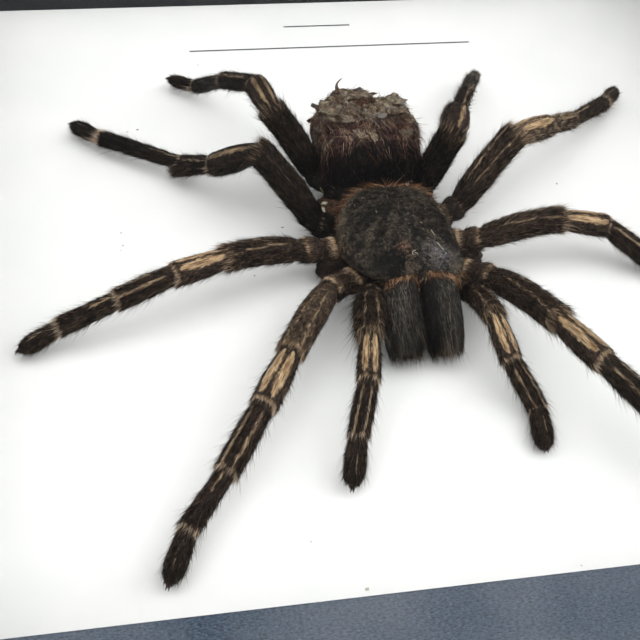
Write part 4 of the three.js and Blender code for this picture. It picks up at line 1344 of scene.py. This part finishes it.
def build_flakes(points, unit, weight, material):
    """Curled scabs of dried hide standing off the rear body, each a thin closed shell."""
    rng = np.random.default_rng(23)
    spots, normals, weight = points.reshape(-1, 3), unit.reshape(-1, 3), weight.reshape(-1)
    chosen = rng.choice(len(spots), FLAKES, replace=False, p=weight / weight.sum())
    disc = ball_rings(9, 30)
    parts, tints = [], []
    for x, y, long, wide, turn, tilt, tint in PLATES:
        near = np.argsort(np.hypot(spots[:, 0] - x, spots[:, 1] - y) - 0.3 * spots[:, 2])[:12]
        rise = spots[near, 2].max() + 0.15
        ragged = 1 + 0.34 * roughness_at(disc * 1.5, 1.0, x + y, 4)
        shell = disc * ragged[..., None] * (long, 0.12, wide)
        shell[..., 1] += 0.16 * (shell[..., 0] / long) ** 2 - 0.5 * (shell[..., 2] / wide) ** 2
        flat = Matrix.Rotation(math.radians(90 + tilt), 3, "X")
        lie = Matrix.Rotation(math.radians(turn), 3, "Z") @ flat
        parts.append((closed_ends(shell) @ np.array(lie).T + (x, y, rise), grid_faces(9, 30)))
        tints.append(np.full(len(parts[-1][0]), tint))
    disc = ball_rings(5, 16)
    for index in chosen:
        reach = rng.uniform(0.5, 1.6)
        lean = normals[index] * (1, 1, 2.5) + rng.uniform(-0.5, 0.5, 3)
        spin = Matrix.Rotation(rng.uniform(0, math.pi), 3, "Y")
        facing = Vector(lean).to_track_quat("Y", "Z").to_matrix() @ spin
        edge = np.clip(1 + 0.8 * roughness_at(disc * 1.7, 1.0, 3.0 * len(parts), 3), 0.45, 1.7)
        shell = disc * (reach * edge)[..., None] * (1, 0.0, rng.uniform(0.3, 0.8))
        shell[..., 1] = 0.1 * disc[..., 1] + rng.uniform(0.1, 0.3) * shell[..., 0] ** 2 / reach
        turned = closed_ends(shell) @ np.array(facing).T
        parts.append((turned + spots[index] + (0, 0, 0.05), grid_faces(5, 16)))
        tints.append(np.full(len(turned), rng.uniform(0.15, 0.9)))
    tint = np.concatenate(tints)
    flakes = new_piece("abdomen_flakes", *merged(parts), material, {"crust": tint, "gloom": 0 * tint})
    place_piece(flakes, "rust_hair")


def build_tail(material):
    """Two spinnerets behind the rear body: a thin one that curls up and a short stub."""
    curl = ((6.4, -34.3, 16.6), (7.2, -35.8, 17.2), (6.9, -36.8, 17.9), (5.7, -37.6, 18.5))
    stub = ((10.8, -32.4, 14.4), (12.0, -33.2, 14.6), (12.8, -33.7, 14.8))
    fingers = {
        "spinneret_curl": (curl, (0.6, 0.4, 0.2, 0.07)),
        "spinneret_stub": (stub, (0.6, 0.5, 0.42)),
    }
    for name, (corners, radii) in fingers.items():
        points, faces = taper(np.array(corners) + (0, 0, BOARD_TOP), radii, 14)
        even = np.full(len(points), 0.3)
        marks = {"crust": even, "gloom": 0 * even}
        place_piece(new_piece(name, points, faces, material, marks), "rust_hair")


# ---- Box --------------------------------------------------------------------------------
def paint_nodes(material, *prefixes):
    """Gives every CAD node whose name starts with a prefix one material."""
    for name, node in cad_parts.items():
        if name.startswith(prefixes):
            node.data.materials.clear()
            node.data.materials.append(material)


# The printed rules: middle of each, and the corners of a box's six sides.
RULES = {"rule_long": (-0.8, -75.5), "rule_short": (1.5, -84.6)}
BOX_SIDES = ((3, 2, 1, 0), (4, 5, 6, 7), (0, 1, 5, 4), (1, 2, 6, 5), (2, 3, 7, 6), (3, 0, 4, 7))


def build_rules(box):
    """Two plain printed rules near the far edge, long and short, where a caption would stand."""
    # Printing ink: charcoal, with the paper's tooth showing through.
    finish = Finish("printing_ink", Roughness=0.6)
    tooth = finish.ramp(finish.grain(every(0.3), 3.0), 0.5, 0.8)
    material = finish.done(finish.mix(tooth, box.ink, "8A8A8A"))
    points, faces = [], []
    half = box.rule_width / 2
    signs = ((-1, -1), (1, -1), (1, 1), (-1, 1))
    for key, (x, y) in RULES.items():
        length, first = getattr(box, key), len(points)
        for z in (BOARD_TOP - 0.02, BOARD_TOP + 0.04):
            points += [(x + sx * length / 2, y + sy * half, z) for sx, sy in signs]
        faces += [tuple(first + v for v in face) for face in BOX_SIDES]
    rules = new_piece("printed_rules", points, faces, material)
    rules.data.shade_flat()
    place_piece(rules, "white_board")


# Beads of glue beside the legs: middle and half sizes; and threads of it: points along each.
GLUE_BEADS = (
    (14.0, -8.6, 6.4, 1.0, 1.7, 0.9), (13.3, -10.4, 7.2, 0.8, 0.5, 0.5),
    (14.0, 2.2, 2.6, 2.6, 0.7, 0.7), (20.2, 18.4, 11.0, 0.4, 0.45, 0.25),
    (-5.6, -15.4, 9.2, 0.4, 0.35, 0.3),
)
GLUE_THREADS = (
    ((17.6, -20.0, 9.5), (15.2, -17.0, 9.6), (13.4, -12.6, 8.4)),
    ((-4.4, -17.2, 10.4), (-5.8, -15.6, 10.0), (-6.0, -14.0, 9.0)),
)
CRUMBS = 34


def build_dust():
    """Crumbs of glue and hair dust on the board and between the coxae."""
    # Dust and glue: pale crumbs and a few brown ones.
    finish = Finish("dust_and_glue", Roughness=0.5)
    hue = finish.ramp(finish.grain(every(14), 1.0), 0.46, 0.54)
    material = finish.done(finish.mix(hue, "B9B3A2", "6F6250"))
    rng = np.random.default_rng(5)
    crumbs = [
        (rng.uniform(-80, 80), rng.uniform(-70, 85), rng.uniform(0.1, 0.26)) for _ in range(CRUMBS)
    ]
    unit, faces = ball_rings(4, 8), grid_faces(4, 8)
    parts = []
    for x, y, radius in crumbs:
        stretch = rng.uniform(0.5, 1.6, 3) * (1, 1, 0.5)
        dents = 1 + 0.2 * rng.standard_normal(unit.shape[:2])
        lump = closed_ends(unit * radius * stretch * dents[..., None])
        parts.append((lump + (x, y, BOARD_TOP + radius * 0.25), faces))
    place_piece(new_piece("board_dust", *merged(parts), material), "white_board")

    # Hardened glue: milky to amber, smooth and a little glossy.
    finish = Finish("hardened_glue", Roughness=0.25)
    milky = finish.ramp(finish.grain(every(1.6), 2.0), 0.4, 0.6)
    glue = finish.done(finish.mix(milky, "7C7040", "B4B2A4"), milky, 0.5, 0.2)
    unit, faces, parts = ball_rings(16, 22), grid_faces(16, 22), []
    for number, (x, y, z, *half) in enumerate(GLUE_BEADS):
        lump = unit * half * (1 + 0.3 * roughness_at(unit, 1.6, 7.0 * number, 3))[..., None]
        parts.append((closed_ends(lump) + (x, y, z + BOARD_TOP), faces))
    for path in GLUE_THREADS:
        corners = np.array(path) + (0, 0, BOARD_TOP)
        parts.append(taper(corners, [0.16] * (len(path) - 1) + [0.06]))
    place_piece(new_piece("glue_beads", *merged(parts), glue), "white_board")


# ---- Stage ------------------------------------------------------------------------------
# The camera's place in mm and its axes, and how far the floor reaches in metres.
CAMERA_PLACE = (60.33, 170.2, 183.92)
CAMERA_RIGHT = (-0.98129, 0.17409, 0.08225)
CAMERA_DOWN = (0.07361, 0.73393, -0.67524)
CAMERA_AHEAD = (-0.17792, -0.65655, -0.73301)
FLOOR_REACH = 2.5


def soft_light(name, place, target, power, width, height, mirrored=True):
    """A rectangular area light in metres that faces the target, and whether shiny things mirror it."""
    data = bpy.data.lights.new(name, "AREA")
    data.shape, data.size, data.size_y, data.energy = "RECTANGLE", width, height, power
    light = add_object(name, data)
    light.location = place
    light.rotation_euler = (Vector(target) - Vector(place)).to_track_quat("-Z", "Y").to_euler()
    light.visible_glossy = mirrored


def build_stage(stage):
    """A pale floor, soft light from large panels, a dim room and the camera."""
    # Matt studio sweep: pale grey.
    finish = Finish("matt_studio_sweep", Roughness=0.8)
    base = finish.mix(finish.grain(3.0, 2.0), "DADAD8", "D2D3D1")
    mesh = bpy.data.meshes.new("floor")
    signs = ((-1, -1), (1, -1), (1, 1), (-1, 1))
    corners = [(sx * FLOOR_REACH, sy * FLOOR_REACH, 0) for sx, sy in signs]
    mesh.from_pydata(corners, [], [(0, 1, 2, 3)])
    mesh.materials.append(finish.done(base, finish.grain(900.0), 0.05, 0.1))
    floor = add_object("floor", mesh)

    scene = bpy.context.scene
    world = bpy.data.worlds.new("dim_room")
    world.use_nodes = True
    background = world.node_tree.nodes["Background"]
    background.inputs["Color"].default_value = colour("E8EEF2")
    background.inputs["Strength"].default_value = stage.ambient
    scene.world = world
    soft_light("overhead_panel", (0.0, 0.32, 1.0), (0, 0, 0), stage.key, 1.7, 1.1, mirrored=False)
    soft_light("right_panel", (1.0, 0.1, 0.7), (0, 0, 0.02), stage.fill, 1.1, 0.8)
    soft_light("left_panel", (-1.0, 0.1, 0.7), (0, 0, 0.02), stage.fill, 1.1, 0.8)

    data = bpy.data.cameras.new("camera")
    data.sensor_width, data.lens, data.clip_start = 36.0, stage.lens, 0.01
    camera = add_object("camera", data)
    turn = Matrix([CAMERA_RIGHT, [-v for v in CAMERA_DOWN], [-v for v in CAMERA_AHEAD]]).transposed()
    camera.matrix_world = Matrix.Translation(Vector(CAMERA_PLACE) * MM) @ turn.to_4x4()
    scene.camera = camera
    scene.view_settings.view_transform = "Standard"


# ---- Operators and panel ----------------------------------------------------------------
class SPIDER_OT_box(bpy.types.Operator):
    """Finishes the rails, walls, board, back, glass and fixings, and prints the two rules"""

    bl_idname = "spider.box"
    bl_label = "Finish the box"

    def execute(self, context):
        box = context.scene.box_finish
        paint_nodes(rail_paint(box, (0.5, 1, 1)), "rail_top", "rail_bottom")
        paint_nodes(rail_paint(box, (1, 0.5, 1)), "rail_left", "rail_right")
        paint_nodes(wall_card(box), "inner_wall_")
        paint_nodes(mounting_board(box), "backing_board")
        paint_nodes(back_panel(box), "back_panel")
        paint_nodes(zinc_steel(), "retaining_tab_", "hanger_")
        paint_nodes(window_glass(), "glass_pane")
        # Light passes the pane at full strength, as it does a thin clean sheet.
        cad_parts["glass_pane"].visible_shadow = False
        build_rules(box)
        return {"FINISHED"}


class SPIDER_OT_limbs(bpy.types.Operator):
    """Builds the eight legs and two palps with their hair"""

    bl_idname = "spider.limbs"
    bl_label = "Build legs and palps"

    def execute(self, context):
        build_limbs(context.scene.animal_finish)
        return {"FINISHED"}


class SPIDER_OT_carapace(bpy.types.Operator):
    """Builds the shield of the front body, its nap, rim hair and eyes"""

    bl_idname = "spider.carapace"
    bl_label = "Build shield"

    def execute(self, context):
        build_carapace(context.scene.animal_finish)
        return {"FINISHED"}


class SPIDER_OT_chelicerae(bpy.types.Operator):
    """Builds the jaws and fangs"""

    bl_idname = "spider.chelicerae"
    bl_label = "Build jaws"

    def execute(self, context):
        build_chelicerae(context.scene.animal_finish)
        return {"FINISHED"}


class SPIDER_OT_abdomen(bpy.types.Operator):
    """Builds the rear body with its crust, strands and spinnerets"""

    bl_idname = "spider.abdomen"
    bl_label = "Build rear body"

    def execute(self, context):
        build_abdomen(context.scene.animal_finish)
        return {"FINISHED"}


class SPIDER_OT_dust(bpy.types.Operator):
    """Scatters dust and glue crumbs"""

    bl_idname = "spider.dust"
    bl_label = "Scatter dust"

    def execute(self, context):
        build_dust()
        return {"FINISHED"}


class SPIDER_OT_stage(bpy.types.Operator):
    """Sets the floor, lights and camera"""

    bl_idname = "spider.stage"
    bl_label = "Set the stage"

    def execute(self, context):
        build_stage(context.scene.stage_setup)
        return {"FINISHED"}


OPERATORS = (
    SPIDER_OT_box, SPIDER_OT_limbs, SPIDER_OT_carapace, SPIDER_OT_chelicerae,
    SPIDER_OT_abdomen, SPIDER_OT_dust, SPIDER_OT_stage,
)


class SPIDER_PT_panel(bpy.types.Panel):
    """Lists the steps and the values they use"""

    bl_label = "Framed Spider"
    bl_idname = "SPIDER_PT_panel"
    bl_space_type = "VIEW_3D"
    bl_region_type = "UI"
    bl_category = "Framed Spider"

    def draw(self, context):
        scene = context.scene
        for operator in OPERATORS:
            self.layout.operator(operator.bl_idname)
        for group in (scene.box_finish, scene.animal_finish, scene.stage_setup):
            column = self.layout.column()
            for name in group.__annotations__:
                column.prop(group, name)


CLASSES = (BoxFinish, AnimalFinish, StageSetup) + OPERATORS + (SPIDER_PT_panel,)


def register():
    for item in CLASSES:
        bpy.utils.register_class(item)
    bpy.types.Scene.box_finish = bpy.props.PointerProperty(type=BoxFinish)
    bpy.types.Scene.animal_finish = bpy.props.PointerProperty(type=AnimalFinish)
    bpy.types.Scene.stage_setup = bpy.props.PointerProperty(type=StageSetup)


def unregister():
    del bpy.types.Scene.stage_setup
    del bpy.types.Scene.animal_finish
    del bpy.types.Scene.box_finish
    for item in reversed(CLASSES):
        bpy.utils.unregister_class(item)


def main():
    register()
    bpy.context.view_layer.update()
    bpy.ops.spider.box()
    bpy.ops.spider.limbs()
    bpy.ops.spider.carapace()
    bpy.ops.spider.chelicerae()
    bpy.ops.spider.abdomen()
    bpy.ops.spider.dust()
    bpy.ops.spider.stage()


if __name__ == "__main__":
    main()
